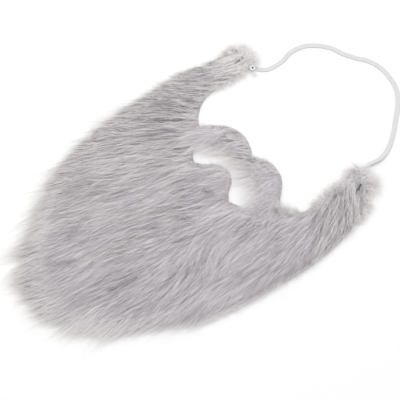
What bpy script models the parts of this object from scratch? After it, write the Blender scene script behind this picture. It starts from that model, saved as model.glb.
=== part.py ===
"""A costume beard of grey faux fur, lying flat on its backing with the pile up.

The beard is one panel of knitted backing cloth, die-cut with its moustache, mouth opening and two sideburns,
and covered in long pile that is combed towards the chin. A flat white elastic runs from the end of one
sideburn to the end of the other, where small metal barbs hold it.

+Z is up, +Y runs from the chin to the ends of the sideburns, and +X runs across the beard. The origin is
under the middle of the fur panel's box, on the surface that the beard lies on.
"""

import math
import random
from collections import namedtuple

import bmesh
import bpy
from mathutils import Matrix, Vector
from mathutils.geometry import intersect_point_line

MM = 0.001

# The panel: backing cloth, and the packed lower part of the pile that the locks lie on.
CLOTH_THICKNESS = 1.4 * MM
PILE_BOTTOM = 0.7 * MM
PILE_TOP = 6.5 * MM
PILE_INSET = 1.0 * MM
PILE_ROUNDING = 2.6 * MM
PILE_FALL_INSIDE = 3 * MM
PILE_FALL_OUTSIDE = 6 * MM
CLOTH_STEPS = 3
PILE_STEPS = 2

# The ends of the sideburns curl up off the table, which leaves room for the elastic under them.
CURL_START_Y = 120 * MM
CURL_END_Y = 162 * MM
CURL_HEIGHT = 5.0 * MM

# The locks, laid in rows like shingles from the sideburns down to the chin.
LOCK_STATIONS = 4
LOCK_SINK = 2.4 * MM
LOCK_SHORTEST_STEP = 4 * MM
LOCK_TRIM = 0.5 * MM
LOCK_TIP_WIDTH = 1 * MM
LOCK_SEAT_SPREAD = 0.5 * MM
LOCK_SIZE_SPREAD = 0.15
LOCK_TURN_SPREAD = 7
ROOT_SPREAD = 0.15
LOCK_ROOT_MARGIN = 3 * MM
LOCK_SEED = 11
FIRST_ROW_Y = 156 * MM
LAST_ROW_Y = -150 * MM
ROWS_HALF_WIDTH = 120 * MM
FLOOR_GAP = 0.4 * MM
COMBING_REACH = 8 * MM

# Short locks cover the moustache and the lobe under the lip.
MOUSTACHE_HALF_WIDTH = 52 * MM
MOUSTACHE_BOTTOM_Y = 64 * MM
LIP_LOBE_HALF_WIDTH = 24 * MM
LIP_LOBE_BOTTOM_Y = 44 * MM

# The fringe hangs over the cloth's edge from cheek to cheek.
FRINGE_TOP_Y = 30 * MM
FRINGE_INSET = 5 * MM
FRINGE_SPREAD = 10

# How far the pile hangs past the cloth: over the mouth, at the sides, and at the chin.
MOUTH_OVERHANG = 5 * MM
SIDE_OVERHANG = 4.5 * MM
CHIN_OVERHANG = 14 * MM
SIDE_ENDS_Y = 20 * MM
CHIN_STARTS_Y = -110 * MM

# The elastic, a flat band.
ELASTIC_WIDTH = 4.6 * MM
ELASTIC_THICKNESS = 1.0 * MM
ELASTIC_CLEARANCE = 0.1 * MM
ELASTIC_STEPS_PER_SPAN = 2

# The barbs: a bar across the fur side of each sideburn, and a stem through the cloth to the elastic's end.
BARB_LENGTH = 11 * MM
BARB_DIAMETER = 1.7 * MM
STEM_DIAMETER = 1.8 * MM
TOUCH_GAP = 0.3 * MM
PARTING_LENGTH = 14 * MM
PARTING_WIDTH = 3.6 * MM
PARTING_DEPTH = 20 * MM
HOLE_DEPTH = 6 * MM
ROUND_SIDES = 10

Edge = namedtuple("Edge", "x y corner")
LockKind = namedtuple("LockKind", "name pitch row_pitch length width height")
Comb = namedtuple("Comb", "x y heading")
Barb = namedtuple("Barb", "name x y heading")

# The cloth's outline, from the notch of the moustache round by the right-hand sideburn. Millimetres.
CLOTH_OUTLINE = [
    Edge(0.5, 92.5, True),
    Edge(9.5, 98.5, False),
    Edge(20.5, 101.5, False),
    Edge(33.5, 99.5, False),
    Edge(44.5, 90, False),
    Edge(56.5, 75, True),
    Edge(65, 81, False),
    Edge(74, 92, False),
    Edge(76, 110, False),
    Edge(74, 135, False),
    Edge(71, 159.5, True),
    Edge(95, 159, True),
    Edge(103, 145, False),
    Edge(112, 124, False),
    Edge(117, 95, False),
    Edge(117.5, 60, False),
    Edge(113, 25, False),
    Edge(106, -15, False),
    Edge(95, -48, False),
    Edge(75, -80, False),
    Edge(55, -112, False),
    Edge(30, -137, False),
    Edge(-5, -149, False),
    Edge(-38, -144, False),
    Edge(-62, -121, False),
    Edge(-84, -90, False),
    Edge(-101.5, -56, False),
    Edge(-111.5, -16, False),
    Edge(-113, 24, False),
    Edge(-113, 58, False),
    Edge(-110, 93, False),
    Edge(-103, 123, False),
    Edge(-99, 143, False),
    Edge(-96, 159.5, True),
    Edge(-73, 159, True),
    Edge(-73, 135, False),
    Edge(-76, 110, False),
    Edge(-74, 96, False),
    Edge(-66, 83, False),
    Edge(-55.5, 75, True),
    Edge(-47.5, 86, False),
    Edge(-36.5, 96.5, False),
    Edge(-21.5, 101, False),
    Edge(-7.5, 97.5, False),
]

# The mouth opening, from its left corner along the moustache and back over the lip's lobe. Millimetres.
MOUTH_OUTLINE = [
    Edge(-41, 56, True),
    Edge(-35, 67, False),
    Edge(-20, 76, False),
    Edge(0, 78, False),
    Edge(20, 76, False),
    Edge(35, 67, False),
    Edge(41, 58, True),
    Edge(33, 51.5, False),
    Edge(22, 46, True),
    Edge(14, 52, False),
    Edge(8, 61, False),
    Edge(-3, 66, False),
    Edge(-15, 61, False),
    Edge(-22, 53, False),
    Edge(-29, 47.5, True),
    Edge(-35, 50, False),
]

# The way the pile lies: degrees from straight towards the chin, positive towards +X. Places in millimetres.
COMBING = [
    Comb(-90, 150, -10),
    Comb(-90, 110, -38),
    Comb(-100, 80, -40),
    Comb(-75, 60, -38),
    Comb(-95, 10, -32),
    Comb(-70, -20, -20),
    Comb(-100, -40, -26),
    Comb(-35, 85, -24),
    Comb(0, 85, -34),
    Comb(30, 85, -18),
    Comb(60, 60, 4),
    Comb(88, 150, 30),
    Comb(95, 120, 38),
    Comb(105, 80, 22),
    Comb(100, 40, 8),
    Comb(90, 0, -6),
    Comb(0, 40, -18),
    Comb(-30, 10, -10),
    Comb(20, 0, -36),
    Comb(55, -15, 30),
    Comb(0, -60, -12),
    Comb(40, -70, -5),
    Comb(80, -60, -3),
    Comb(-60, -90, -10),
    Comb(0, -110, -8),
    Comb(-10, -145, -22),
    Comb(40, -125, 0),
]

LONG_LOCKS = LockKind("long_lock", 18.5 * MM, 30 * MM, 57 * MM, 17 * MM, 3.6 * MM)
SHORT_LOCKS = LockKind("short_lock", 11.5 * MM, 11 * MM, 20 * MM, 10 * MM, 2.6 * MM)
FRINGE_LOCKS = LockKind("fringe_lock", 11 * MM, 0, 26 * MM, 11 * MM, 2.4 * MM)

# The middle of the panel's box, locks included, which becomes the origin.
PANEL_MIDDLE = Vector((1.98, -1.51, 0)) * MM

BARBS = [
    Barb("elastic_barb_left", -84.6, 149, 0),
    Barb("elastic_barb_right", 89.3, 144.7, 23),
]

# The elastic's route on the table, from under one sideburn to under the other. Millimetres.
ELASTIC_ROUTE = [
    (-84.6, 149),
    (-78, 152),
    (-69, 157),
    (-61, 166),
    (-59, 181),
    (-61, 195),
    (-58, 209),
    (-50, 220),
    (-40, 228),
    (-27, 233),
    (-16, 239),
    (-6, 246),
    (8, 250),
    (23, 249),
    (36, 244.5),
    (47.5, 235),
    (58, 222),
    (67.5, 210),
    (75.5, 196),
    (78.5, 182),
    (75.5, 166),
    (79, 154),
    (89.3, 144.7),
]


def clear_scene():
    for thing in list(bpy.data.objects):
        bpy.data.objects.remove(thing, do_unlink=True)


def new_collection(name, hidden=False):
    collection = bpy.data.collections.new(name)
    bpy.context.scene.collection.children.link(collection)
    collection.hide_render = hidden
    return collection


def make_material(name, colour, roughness, metallic=0.0):
    material = bpy.data.materials.new(name)
    material.use_nodes = True
    shader = material.node_tree.nodes["Principled BSDF"]
    shader.inputs["Base Color"].default_value = (*colour, 1.0)
    shader.inputs["Roughness"].default_value = roughness
    shader.inputs["Metallic"].default_value = metallic
    material.diffuse_color = (*colour, 1.0)
    return material


def curl(y):
    """How far the panel has risen off the table at y."""
    share = (y - CURL_START_Y) / (CURL_END_Y - CURL_START_Y)
    return CURL_HEIGHT * max(0.0, share) ** 2


def curl_slope(y):
    share = (y - CURL_START_Y) / (CURL_END_Y - CURL_START_Y)
    return 2 * CURL_HEIGHT * max(0.0, share) / (CURL_END_Y - CURL_START_Y)


def add_outline(curve, edges):
    """Adds a closed spline, smooth at every point but the corners."""
    spline = curve.splines.new("BEZIER")
    spline.use_cyclic_u = True
    spline.bezier_points.add(len(edges) - 1)
    for point, edge in zip(spline.bezier_points, edges):
        point.co = (edge.x * MM, edge.y * MM, 0)
        handle = "VECTOR" if edge.corner else "AUTO"
        point.handle_left_type = handle
        point.handle_right_type = handle


def flat_panel(name, bottom, top, inset, rounding, steps, collection):
    """The die-cut shape as a solid between two heights, with its rim rounded."""
    curve = bpy.data.curves.new(name, "CURVE")
    curve.dimensions = "2D"
    curve.fill_mode = "BOTH"
    curve.resolution_u = steps
    add_outline(curve, CLOTH_OUTLINE)
    add_outline(curve, MOUTH_OUTLINE)
    curve.extrude = (top - bottom) / 2 - rounding
    curve.bevel_depth = rounding
    curve.bevel_resolution = 0
    curve.offset = -inset - rounding
    panel = bpy.data.objects.new(name, curve)
    collection.objects.link(panel)
    panel.location.z = (top + bottom) / 2
    return as_mesh(panel, collection)


def as_mesh(source, collection):
    """Replaces an object by its evaluated mesh, with the loose caps of a curve welded."""
    bpy.context.view_layer.update()
    graph = bpy.context.evaluated_depsgraph_get()
    mesh = bpy.data.meshes.new_from_object(source.evaluated_get(graph))
    form = bmesh.new()
    form.from_mesh(mesh)
    bmesh.ops.remove_doubles(form, verts=form.verts, dist=0.00001)
    bmesh.ops.recalc_face_normals(form, faces=form.faces)
    form.to_mesh(mesh)
    form.free()
    name = source.name
    place = source.matrix_world.copy()
    bpy.data.objects.remove(source, do_unlink=True)
    made = bpy.data.objects.new(name, mesh)
    made.matrix_world = place
    collection.objects.link(made)
    return made


def outline_points(edges):
    """The outline as plain points."""
    return [Vector((edge.x * MM, edge.y * MM)) for edge in edges]


def inside(point, loop):
    """Whether the point lies within the closed loop."""
    found = False
    for start, end in zip(loop, loop[1:] + loop[:1]):
        if (start.y > point.y) != (end.y > point.y):
            crossing = start.x + (point.y - start.y) / (end.y - start.y) * (end.x - start.x)
            found ^= point.x < crossing
    return found


def distance_to(point, loop):
    """The distance from the point to the nearest stretch of the loop."""
    nearest = math.inf
    for start, end in zip(loop, loop[1:] + loop[:1]):
        foot, share = intersect_point_line(point, start, end)
        foot = Vector(foot[:2]) if 0 < share < 1 else (start if share <= 0 else end)
        nearest = min(nearest, (point - foot).length)
    return nearest


CLOTH_LOOP = outline_points(CLOTH_OUTLINE)
MOUTH_LOOP = outline_points(MOUTH_OUTLINE)


def depth_in_cloth(point):
    """The distance to the cloth's edge, positive on the cloth and negative past it."""
    cloth_edge = distance_to(point, CLOTH_LOOP)
    mouth_edge = distance_to(point, MOUTH_LOOP)
    if inside(point, MOUTH_LOOP):
        return -mouth_edge
    if inside(point, CLOTH_LOOP):
        return min(cloth_edge, mouth_edge)
    return -cloth_edge


def overhang_at(point):
    """How far past the cloth the pile may reach here."""
    if inside(point, MOUTH_LOOP):
        return MOUTH_OVERHANG
    share = (SIDE_ENDS_Y - point.y) / (SIDE_ENDS_Y - CHIN_STARTS_Y)
    share = min(1.0, max(0.0, share))
    return SIDE_OVERHANG + share * (CHIN_OVERHANG - SIDE_OVERHANG)


def comb_heading(point):
    """The pile's heading here, in radians, blended from the combing guides by their nearness."""
    total = 0.0
    turned = 0.0
    for guide in COMBING:
        gap = (point - Vector((guide.x, guide.y)) * MM).length
        weight = 1 / (gap**2 + COMBING_REACH**2) ** 1.5
        total += weight
        turned += weight * guide.heading
    return math.radians(turned / total)


def comb_direction(point, turn=0.0):
    heading = comb_heading(point) + turn
    return Vector((math.sin(heading), -math.cos(heading)))


def lock_path(root, length, turn):
    """Points along one lock, which follows the combing up to the limit of the pile's overhang."""
    step = length / LOCK_STATIONS
    path = [root]
    for _ in range(LOCK_STATIONS):
        heading = comb_direction(path[-1], turn)
        reach = step
        while reach > LOCK_SHORTEST_STEP and room_left(path[-1] + heading * reach) < 0:
            reach -= LOCK_TRIM
        if room_left(path[-1] + heading * reach) < 0:
            break
        path.append(path[-1] + heading * reach)
        if reach < step:
            break
    return path


def room_left(point):
    """The distance to the limit of the pile's overhang, negative past it."""
    return depth_in_cloth(point) + overhang_at(point)


def ground_height(point):
    """The height of the packed pile under a lock, falling to the table past the cloth."""
    depth = depth_in_cloth(point)
    share = min(1.0, max(0.0, (depth + PILE_FALL_OUTSIDE) / (PILE_FALL_OUTSIDE + PILE_FALL_INSIDE)))
    return CLOTH_THICKNESS + (PILE_TOP - CLOTH_THICKNESS) * share


def lock_profile(share):
    """Width and height of a lock at a share of its length, from its root to its pointed end."""
    width = math.sin(math.pi * min(1.0, 0.18 + share * 0.9)) ** 0.7
    height = math.sin(math.pi * min(1.0, 0.12 + share * 0.86)) ** 0.8
    return max(width, 0.05), max(height, 0.05)


def loft_lock(name, path, width, height, seat, collection):
    """One lock: a tapered strip with a ridge, lofted through flat diamond sections."""
    form = bmesh.new()
    rings = []
    last = len(path) - 1
    for index, point in enumerate(path):
        ahead = path[min(index + 1, last)] - path[max(index - 1, 0)]
        side = Vector((-ahead.y, ahead.x)).normalized()
        wide, high = lock_profile(index / last)
        ground = ground_height(point) + seat
        half = min(wide * width / 2, max(room_left(point), LOCK_TIP_WIDTH / 2))
        ridge = ground + high * height
        keel = max(ground - LOCK_SINK, FLOOR_GAP)
        brim = max(ground - LOCK_SINK / 3, keel + 0.3 * MM)
        corners = (
            (point + side * half, brim),
            (point, ridge),
            (point - side * half, brim),
            (point, keel),
        )
        rings.append([form.verts.new((*place, level)) for place, level in corners])
    for ring, following in zip(rings, rings[1:]):
        for corner in range(4):
            after = (corner + 1) % 4
            form.faces.new((ring[corner], ring[after], following[after], following[corner]))
    form.faces.new(rings[0][::-1])
    form.faces.new(rings[-1])
    bmesh.ops.recalc_face_normals(form, faces=form.faces)
    return new_object(name, form, collection)


def add_lock(kind, root, spread, chance, collection):
    """Lofts one lock of a kind from its root, with small differences of size and lie, where it fits."""
    length = kind.length * (1 + chance.uniform(-1, 1) * LOCK_SIZE_SPREAD)
    width = kind.width * (1 + chance.uniform(-1, 1) * LOCK_SIZE_SPREAD)
    height = kind.height * (1 + chance.uniform(-1, 1) * LOCK_SIZE_SPREAD)
    turn = math.radians(spread + chance.uniform(-1, 1) * LOCK_TURN_SPREAD)
    seat = chance.uniform(-1, 1) * LOCK_SEAT_SPREAD
    if depth_in_cloth(root) < LOCK_ROOT_MARGIN:
        return
    path = lock_path(root, length, turn)
    if len(path) > 2:
        name = f"{kind.name}_{len(collection.objects):03d}"
        loft_lock(name, path, width, height, seat, collection)


def in_short_area(point):
    """Whether the point lies on the moustache or on the lobe under the lip."""
    moustache = abs(point.x) < MOUSTACHE_HALF_WIDTH and point.y > MOUSTACHE_BOTTOM_Y
    lip_lobe = abs(point.x) < LIP_LOBE_HALF_WIDTH and point.y > LIP_LOBE_BOTTOM_Y
    return moustache or lip_lobe


def lay_rows(kind, short, chance, collection):
    """Rows of locks over the panel, each row shifted by half a lock from the one above."""
    rows = int((FIRST_ROW_Y - LAST_ROW_Y) / kind.row_pitch) + 1
    columns = int(ROWS_HALF_WIDTH / kind.pitch)
    for row in range(rows):
        shift = 0.5 * (row % 2)
        for column in range(-columns, columns + 1):
            x = (column + shift + chance.uniform(-1, 1) * ROOT_SPREAD) * kind.pitch
            y = FIRST_ROW_Y - (row + chance.uniform(-1, 1) * ROOT_SPREAD) * kind.row_pitch
            root = Vector((x, y))
            if in_short_area(root) == short:
                add_lock(kind, root, 0, chance, collection)


def lay_fringe(kind, chance, collection):
    """Locks rooted just inside the cloth's lower edge, which reach past it and fan a little outwards."""
    travelled = 0.0
    for start, end in zip(CLOTH_LOOP, CLOTH_LOOP[1:] + CLOTH_LOOP[:1]):
        if max(start.y, end.y) > FRINGE_TOP_Y:
            continue
        along = (end - start).normalized()
        inward = Vector((along.y, -along.x))
        span = (end - start).length
        while travelled < span:
            root = start + along * travelled + inward * FRINGE_INSET
            spread = FRINGE_SPREAD * root.x / ROWS_HALF_WIDTH
            add_lock(kind, root, spread, chance, collection)
            travelled += kind.pitch * (1 + chance.uniform(-1, 1) * ROOT_SPREAD)
        travelled -= span


def lay_locks(collection):
    chance = random.Random(LOCK_SEED)
    lay_rows(LONG_LOCKS, False, chance, collection)
    lay_rows(SHORT_LOCKS, True, chance, collection)
    lay_fringe(FRINGE_LOCKS, chance, collection)


def join_by_boolean(target, operation, operand):
    """Adds or cuts an object, or all the objects of a collection, and keeps the result as the mesh."""
    modifier = target.modifiers.new(operation.title(), "BOOLEAN")
    modifier.operation = operation
    modifier.solver = "EXACT"
    if isinstance(operand, bpy.types.Collection):
        modifier.operand_type = "COLLECTION"
        modifier.collection = operand
    else:
        modifier.object = operand
    bpy.context.view_layer.update()
    graph = bpy.context.evaluated_depsgraph_get()
    mesh = bpy.data.meshes.new_from_object(target.evaluated_get(graph))
    target.modifiers.clear()
    target.data = mesh


def new_object(name, form, collection):
    """A mesh object made from the finished bmesh."""
    mesh = bpy.data.meshes.new(name)
    form.to_mesh(mesh)
    form.free()
    made = bpy.data.objects.new(name, mesh)
    collection.objects.link(made)
    return made


def make_parting(barb, collection):
    """The cutter that parts the pile for a barb, down to the cloth."""
    form = bmesh.new()
    bmesh.ops.create_cube(form, size=1.0)
    bmesh.ops.scale(form, verts=form.verts, vec=(PARTING_WIDTH, PARTING_LENGTH, PARTING_DEPTH))
    cutter = new_object(f"{barb.name}_parting", form, collection)
    cutter.location = (barb.x * MM, barb.y * MM, CLOTH_THICKNESS + PARTING_DEPTH / 2)
    cutter.rotation_euler.z = math.radians(barb.heading)
    return cutter


def make_stem_hole(barb, collection):
    """The cutter for the small hole through the cloth under a barb."""
    diameter = STEM_DIAMETER + 2 * TOUCH_GAP
    cutter = add_cylinder(f"{barb.name}_hole", diameter, HOLE_DEPTH, Matrix(), collection)
    cutter.location = (barb.x * MM, barb.y * MM, 0)
    return cutter


def make_fur_panel(parts, helpers):
    """Cloth, packed pile and locks fused into one solid, parted for the barbs and curled at its ends."""
    panel = flat_panel("fur_panel", 0, CLOTH_THICKNESS, 0, 0, CLOTH_STEPS, parts)
    pile = flat_panel("packed_pile", PILE_BOTTOM, PILE_TOP, PILE_INSET, PILE_ROUNDING, PILE_STEPS, helpers)
    join_by_boolean(panel, "UNION", pile)
    locks = new_collection("locks", hidden=True)
    lay_locks(locks)
    join_by_boolean(panel, "UNION", locks)
    for barb in BARBS:
        join_by_boolean(panel, "DIFFERENCE", make_parting(barb, helpers))
        join_by_boolean(panel, "DIFFERENCE", make_stem_hole(barb, helpers))
    panel.data.transform(panel.matrix_world)
    panel.location = (0, 0, 0)
    for vertex in panel.data.vertices:
        vertex.co.z += curl(vertex.co.y)
    panel.data.materials.clear()
    panel.data.materials.append(make_material("grey_faux_fur", (0.47, 0.45, 0.47), 0.8))
    return panel


def smooth_route(points, steps):
    """Points on a smooth curve through all the given ones."""
    points = [Vector((x * MM, y * MM)) for x, y in points]
    padded = [2 * points[0] - points[1], *points, 2 * points[-1] - points[-2]]
    route = []
    for before, start, end, after in zip(padded, padded[1:], padded[2:], padded[3:]):
        for step in range(steps):
            share = step / steps
            route.append(
                0.5
                * (
                    2 * start
                    + (end - before) * share
                    + (2 * before - 5 * start + 4 * end - after) * share**2
                    + (3 * start - before - 3 * end + after) * share**3
                )
            )
    route.append(points[-1])
    return route


def make_elastic(parts, helpers):
    """The flat elastic band, lying on the table."""
    profile = bpy.data.curves.new("elastic_profile", "CURVE")
    profile.dimensions = "2D"
    section = profile.splines.new("POLY")
    section.points.add(3)
    section.use_cyclic_u = True
    half_width = ELASTIC_WIDTH / 2
    half_thickness = ELASTIC_THICKNESS / 2
    corners = ((-1, -1), (1, -1), (1, 1), (-1, 1))
    for point, (across, up) in zip(section.points, corners):
        point.co = (across * half_width, up * half_thickness, 0, 1)
    section_object = bpy.data.objects.new("elastic_profile", profile)
    section_object.hide_render = True
    helpers.objects.link(section_object)

    curve = bpy.data.curves.new("elastic_band", "CURVE")
    curve.dimensions = "3D"
    curve.twist_mode = "Z_UP"
    curve.bevel_mode = "OBJECT"
    curve.bevel_object = section_object
    curve.use_fill_caps = True
    route = smooth_route(ELASTIC_ROUTE, ELASTIC_STEPS_PER_SPAN)
    spline = curve.splines.new("POLY")
    spline.points.add(len(route) - 1)
    for point, place in zip(spline.points, route):
        point.co = (place.x, place.y, ELASTIC_CLEARANCE + half_thickness, 1)
    band = bpy.data.objects.new("elastic_band", curve)
    helpers.objects.link(band)
    elastic = as_mesh(band, parts)
    elastic.data.materials.append(make_material("white_elastic", (0.8, 0.81, 0.81), 0.65))
    return elastic


def add_cylinder(name, diameter, length, place, collection):
    """A round bar along its own Z, moved by a matrix."""
    form = bmesh.new()
    radius = diameter / 2
    bmesh.ops.create_cone(
        form,
        cap_ends=True,
        segments=ROUND_SIDES,
        radius1=radius,
        radius2=radius,
        depth=length,
        matrix=place,
    )
    return new_object(name, form, collection)


def make_barb(barb, parts, helpers):
    """A round bar lying in the parting, with its stem down through the cloth to the elastic's end."""
    y = barb.y * MM
    bar_height = CLOTH_THICKNESS + TOUCH_GAP + BARB_DIAMETER / 2
    stem_foot = ELASTIC_CLEARANCE + ELASTIC_THICKNESS + TOUCH_GAP - curl(y)
    stem_length = bar_height - stem_foot
    lying = Matrix.Translation((0, 0, bar_height)) @ Matrix.Rotation(math.radians(90), 4, "X")
    standing = Matrix.Translation((0, 0, stem_foot + stem_length / 2))
    made = add_cylinder(barb.name, BARB_DIAMETER, BARB_LENGTH, lying, parts)
    stem = add_cylinder(f"{barb.name}_stem", STEM_DIAMETER, stem_length, standing, helpers)
    join_by_boolean(made, "UNION", stem)
    made.location = (barb.x * MM, y, curl(y))
    made.rotation_euler = (math.atan(curl_slope(y)), 0, math.radians(barb.heading))
    made.data.materials.clear()
    made.data.materials.append(make_material("dark_metal", (0.09, 0.09, 0.1), 0.35, metallic=1.0))
    return made


def main():
    clear_scene()
    parts = new_collection("fake_beard")
    helpers = new_collection("cutters", hidden=True)
    make_fur_panel(parts, helpers)
    make_elastic(parts, helpers)
    for barb in BARBS:
        make_barb(barb, parts, helpers)
    for piece in parts.objects:
        piece.location -= PANEL_MIDDLE


main()
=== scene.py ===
"""The looks of a costume beard of grey faux fur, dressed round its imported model.

The beard lies on a pale floor with its pile up. Its knitted backing, its packed pile, its hair and its flat
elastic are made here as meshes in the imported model's own frame, in metres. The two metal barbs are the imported
model's own and only get a finish.

Places are written in the cutting pattern's millimetres, as in the part's source, and moved to the row frame
by the middle of the fur panel.
"""

from __future__ import annotations

import logging
import math
from collections.abc import Callable, Iterable, Sequence
from dataclasses import dataclass, field, replace
from enum import Enum
from functools import cache

import bmesh
import bpy
import numpy as np
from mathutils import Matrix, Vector

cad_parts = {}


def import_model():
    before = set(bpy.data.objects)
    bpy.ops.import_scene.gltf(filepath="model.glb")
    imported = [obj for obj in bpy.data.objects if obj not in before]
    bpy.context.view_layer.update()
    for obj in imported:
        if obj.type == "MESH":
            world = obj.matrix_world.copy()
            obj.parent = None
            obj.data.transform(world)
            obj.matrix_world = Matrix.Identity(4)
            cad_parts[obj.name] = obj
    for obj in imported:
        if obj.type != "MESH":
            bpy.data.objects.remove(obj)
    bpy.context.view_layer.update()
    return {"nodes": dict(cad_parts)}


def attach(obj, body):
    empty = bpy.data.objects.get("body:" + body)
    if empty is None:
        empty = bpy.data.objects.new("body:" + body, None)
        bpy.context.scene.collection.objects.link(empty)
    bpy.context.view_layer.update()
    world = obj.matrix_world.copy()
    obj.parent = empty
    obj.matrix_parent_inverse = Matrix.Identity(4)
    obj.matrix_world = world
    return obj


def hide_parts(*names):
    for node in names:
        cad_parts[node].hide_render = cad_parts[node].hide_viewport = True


log = logging.getLogger("fake_beard")

MM = 0.001
PANEL_MIDDLE = np.array((1.98, -1.51))
BODY = "root"
STRAND_UV = "OFBake"
WEAVE_UV = "weave"
TONE_COLUMNS = 32
# No hair lies further to either side than this.
FURTHEST_ASIDE = 134 * MM
# The ends of the sideburns rise off the floor from here on, in a curve with this rise after this run.
CURL_START = (120 - float(PANEL_MIDDLE[1])) * MM
CURL_RUN = 42 * MM
CURL_RISE = 5 * MM

Colour = tuple[float, float, float]
Socket = bpy.types.NodeSocket
Array = np.ndarray


@dataclass(frozen=True)
class Edge:
    """One point of a cut outline, in the pattern's millimetres."""

    x: float
    y: float
    sharp: bool = False


@dataclass(frozen=True)
class Comb:
    """The way the pile lies at one place: degrees from straight towards the chin, positive towards +X."""

    x: float
    y: float
    heading: float


@dataclass(frozen=True)
class Spot:
    """A round patch of the pelt that differs from the rest, in millimetres, with how much it differs."""

    x: float
    y: float
    radius: float
    amount: float

    def share_at(self, places: Array) -> Array:
        """How much the patch acts at each of the pattern's places, fading over its rim."""
        gap = np.hypot(places[:, 0] - self.x, places[:, 1] - self.y)
        return self.amount * (1 - smooth_share(gap, self.radius * 0.5, self.radius))


@dataclass(frozen=True)
class Slit:
    """A parting where the pile opens, from one end to the other, in millimetres."""

    x: float
    y: float
    end_x: float
    end_y: float
    width: float

    def ends(self) -> Array:
        """Both ends in the row frame, one row each."""
        return to_row(((self.x, self.y), (self.end_x, self.end_y)))

    def gap_to(self, points: Array) -> Array:
        """The distance from each point to the parting, in metres."""
        return gap_to_line(points, *self.ends())


@dataclass(frozen=True)
class Fringe:
    """How the hair ends past the cloth near one place of the outline, all in millimetres.

    The thick of the hair reaches `overhang` past the cloth, and it thins out over `fade`.
    """

    x: float
    y: float
    overhang: float
    fade: float


CLOTH_OUTLINE = (
    Edge(0.5, 92.5, True), Edge(9.5, 98.5), Edge(20.5, 101.5), Edge(33.5, 99.5), Edge(44.5, 90),
    Edge(56.5, 75, True), Edge(65, 81), Edge(74, 92), Edge(76, 110), Edge(74, 135), Edge(71, 159.5, True),
    Edge(95, 159, True), Edge(103, 145), Edge(112, 124), Edge(117, 95), Edge(117.5, 60), Edge(113, 25),
    Edge(106, -15), Edge(95, -48), Edge(75, -80), Edge(55, -112), Edge(30, -137), Edge(-5, -149),
    Edge(-38, -144), Edge(-62, -121), Edge(-84, -90), Edge(-101.5, -56), Edge(-111.5, -16), Edge(-113, 24),
    Edge(-113, 58), Edge(-110, 93), Edge(-103, 123), Edge(-99, 143), Edge(-96, 159.5, True),
    Edge(-73, 159, True), Edge(-73, 135), Edge(-76, 110), Edge(-74, 96), Edge(-66, 83),
    Edge(-55.5, 75, True), Edge(-47.5, 86), Edge(-36.5, 96.5), Edge(-21.5, 101), Edge(-7.5, 97.5),
)

MOUTH_OUTLINE = (
    Edge(-41, 56, True), Edge(-35, 67), Edge(-20, 76), Edge(0, 78), Edge(20, 76), Edge(35, 67),
    Edge(41, 58, True), Edge(33, 51.5), Edge(22, 46, True), Edge(14, 52), Edge(8, 61), Edge(-3, 66),
    Edge(-15, 61), Edge(-22, 53), Edge(-29, 47.5, True), Edge(-35, 50),
)

COMBING = (
    Comb(-90, 150, -8), Comb(-84, 130, -26), Comb(-90, 110, -38), Comb(-100, 80, -42), Comb(-80, 84, -44),
    Comb(-75, 60, -38), Comb(-95, 30, -33), Comb(-95, 0, -31), Comb(-60, 20, -20), Comb(-70, -20, -20),
    Comb(-100, -40, -26), Comb(-40, 90, -12), Comb(-20, 86, -27), Comb(0, 85, -34), Comb(20, 88, -23),
    Comb(40, 82, -10), Comb(60, 66, 4), Comb(80, 150, 44), Comb(90, 144, 48), Comb(80, 128, 50),
    Comb(98, 128, 52), Comb(90, 108, 30), Comb(106, 90, 22), Comb(80, 84, -10), Comb(100, 60, 8),
    Comb(100, 30, 0), Comb(90, 0, -6), Comb(0, 40, -14), Comb(-30, 10, -9), Comb(10, 8, -34),
    Comb(36, 10, 0), Comb(52, -4, 38), Comb(60, -22, 16), Comb(0, -30, -18), Comb(-40, -50, -17),
    Comb(0, -70, -11), Comb(40, -70, -5), Comb(80, -60, -2), Comb(-60, -90, -12), Comb(0, -110, -8),
    Comb(-40, -130, -18), Comb(-10, -148, -23), Comb(40, -125, 0),
)

# Patches where the hairs lie every way: under the right corner of the mouth, by the right cheek's rim, on the
# whorl below the lip and at the tip of the chin.
RUFFLED = (
    Spot(52, 57, 16, 1.0), Spot(104, 66, 9, 0.9), Spot(54, -6, 17, 0.8), Spot(14, 2, 14, 0.6),
    Spot(-30, -146, 14, 0.7), Spot(84, 124, 16, 0.6),
)

# Where the coat is a little darker: the lobe under the mouth, the moustache's left half and the right cheek.
DULLER = (
    Spot(0, 50, 26, 1.0), Spot(-24, 82, 22, 0.8), Spot(87, 50, 34, 0.5), Spot(52, -52, 42, 0.6),
)

# Where it is a little lighter: the left cheek, and the outer side and the end of the right sideburn.
LIGHTER = (
    Spot(-79, 18, 44, 1.0), Spot(98, 118, 20, 0.7), Spot(86, 145, 13, 0.9),
)

# Where the lines of painted shade and painted highlight lie thickest on the coat: the right sideburn, and round
# the right corner of the mouth.
MOST_PAINTED_LINES = (
    Spot(90, 124, 32, 1.0), Spot(60, 60, 30, 0.8), Spot(104, 66, 22, 0.7), Spot(30, -6, 40, 0.6),
    Spot(-84, 120, 26, 0.5),
)

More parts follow.
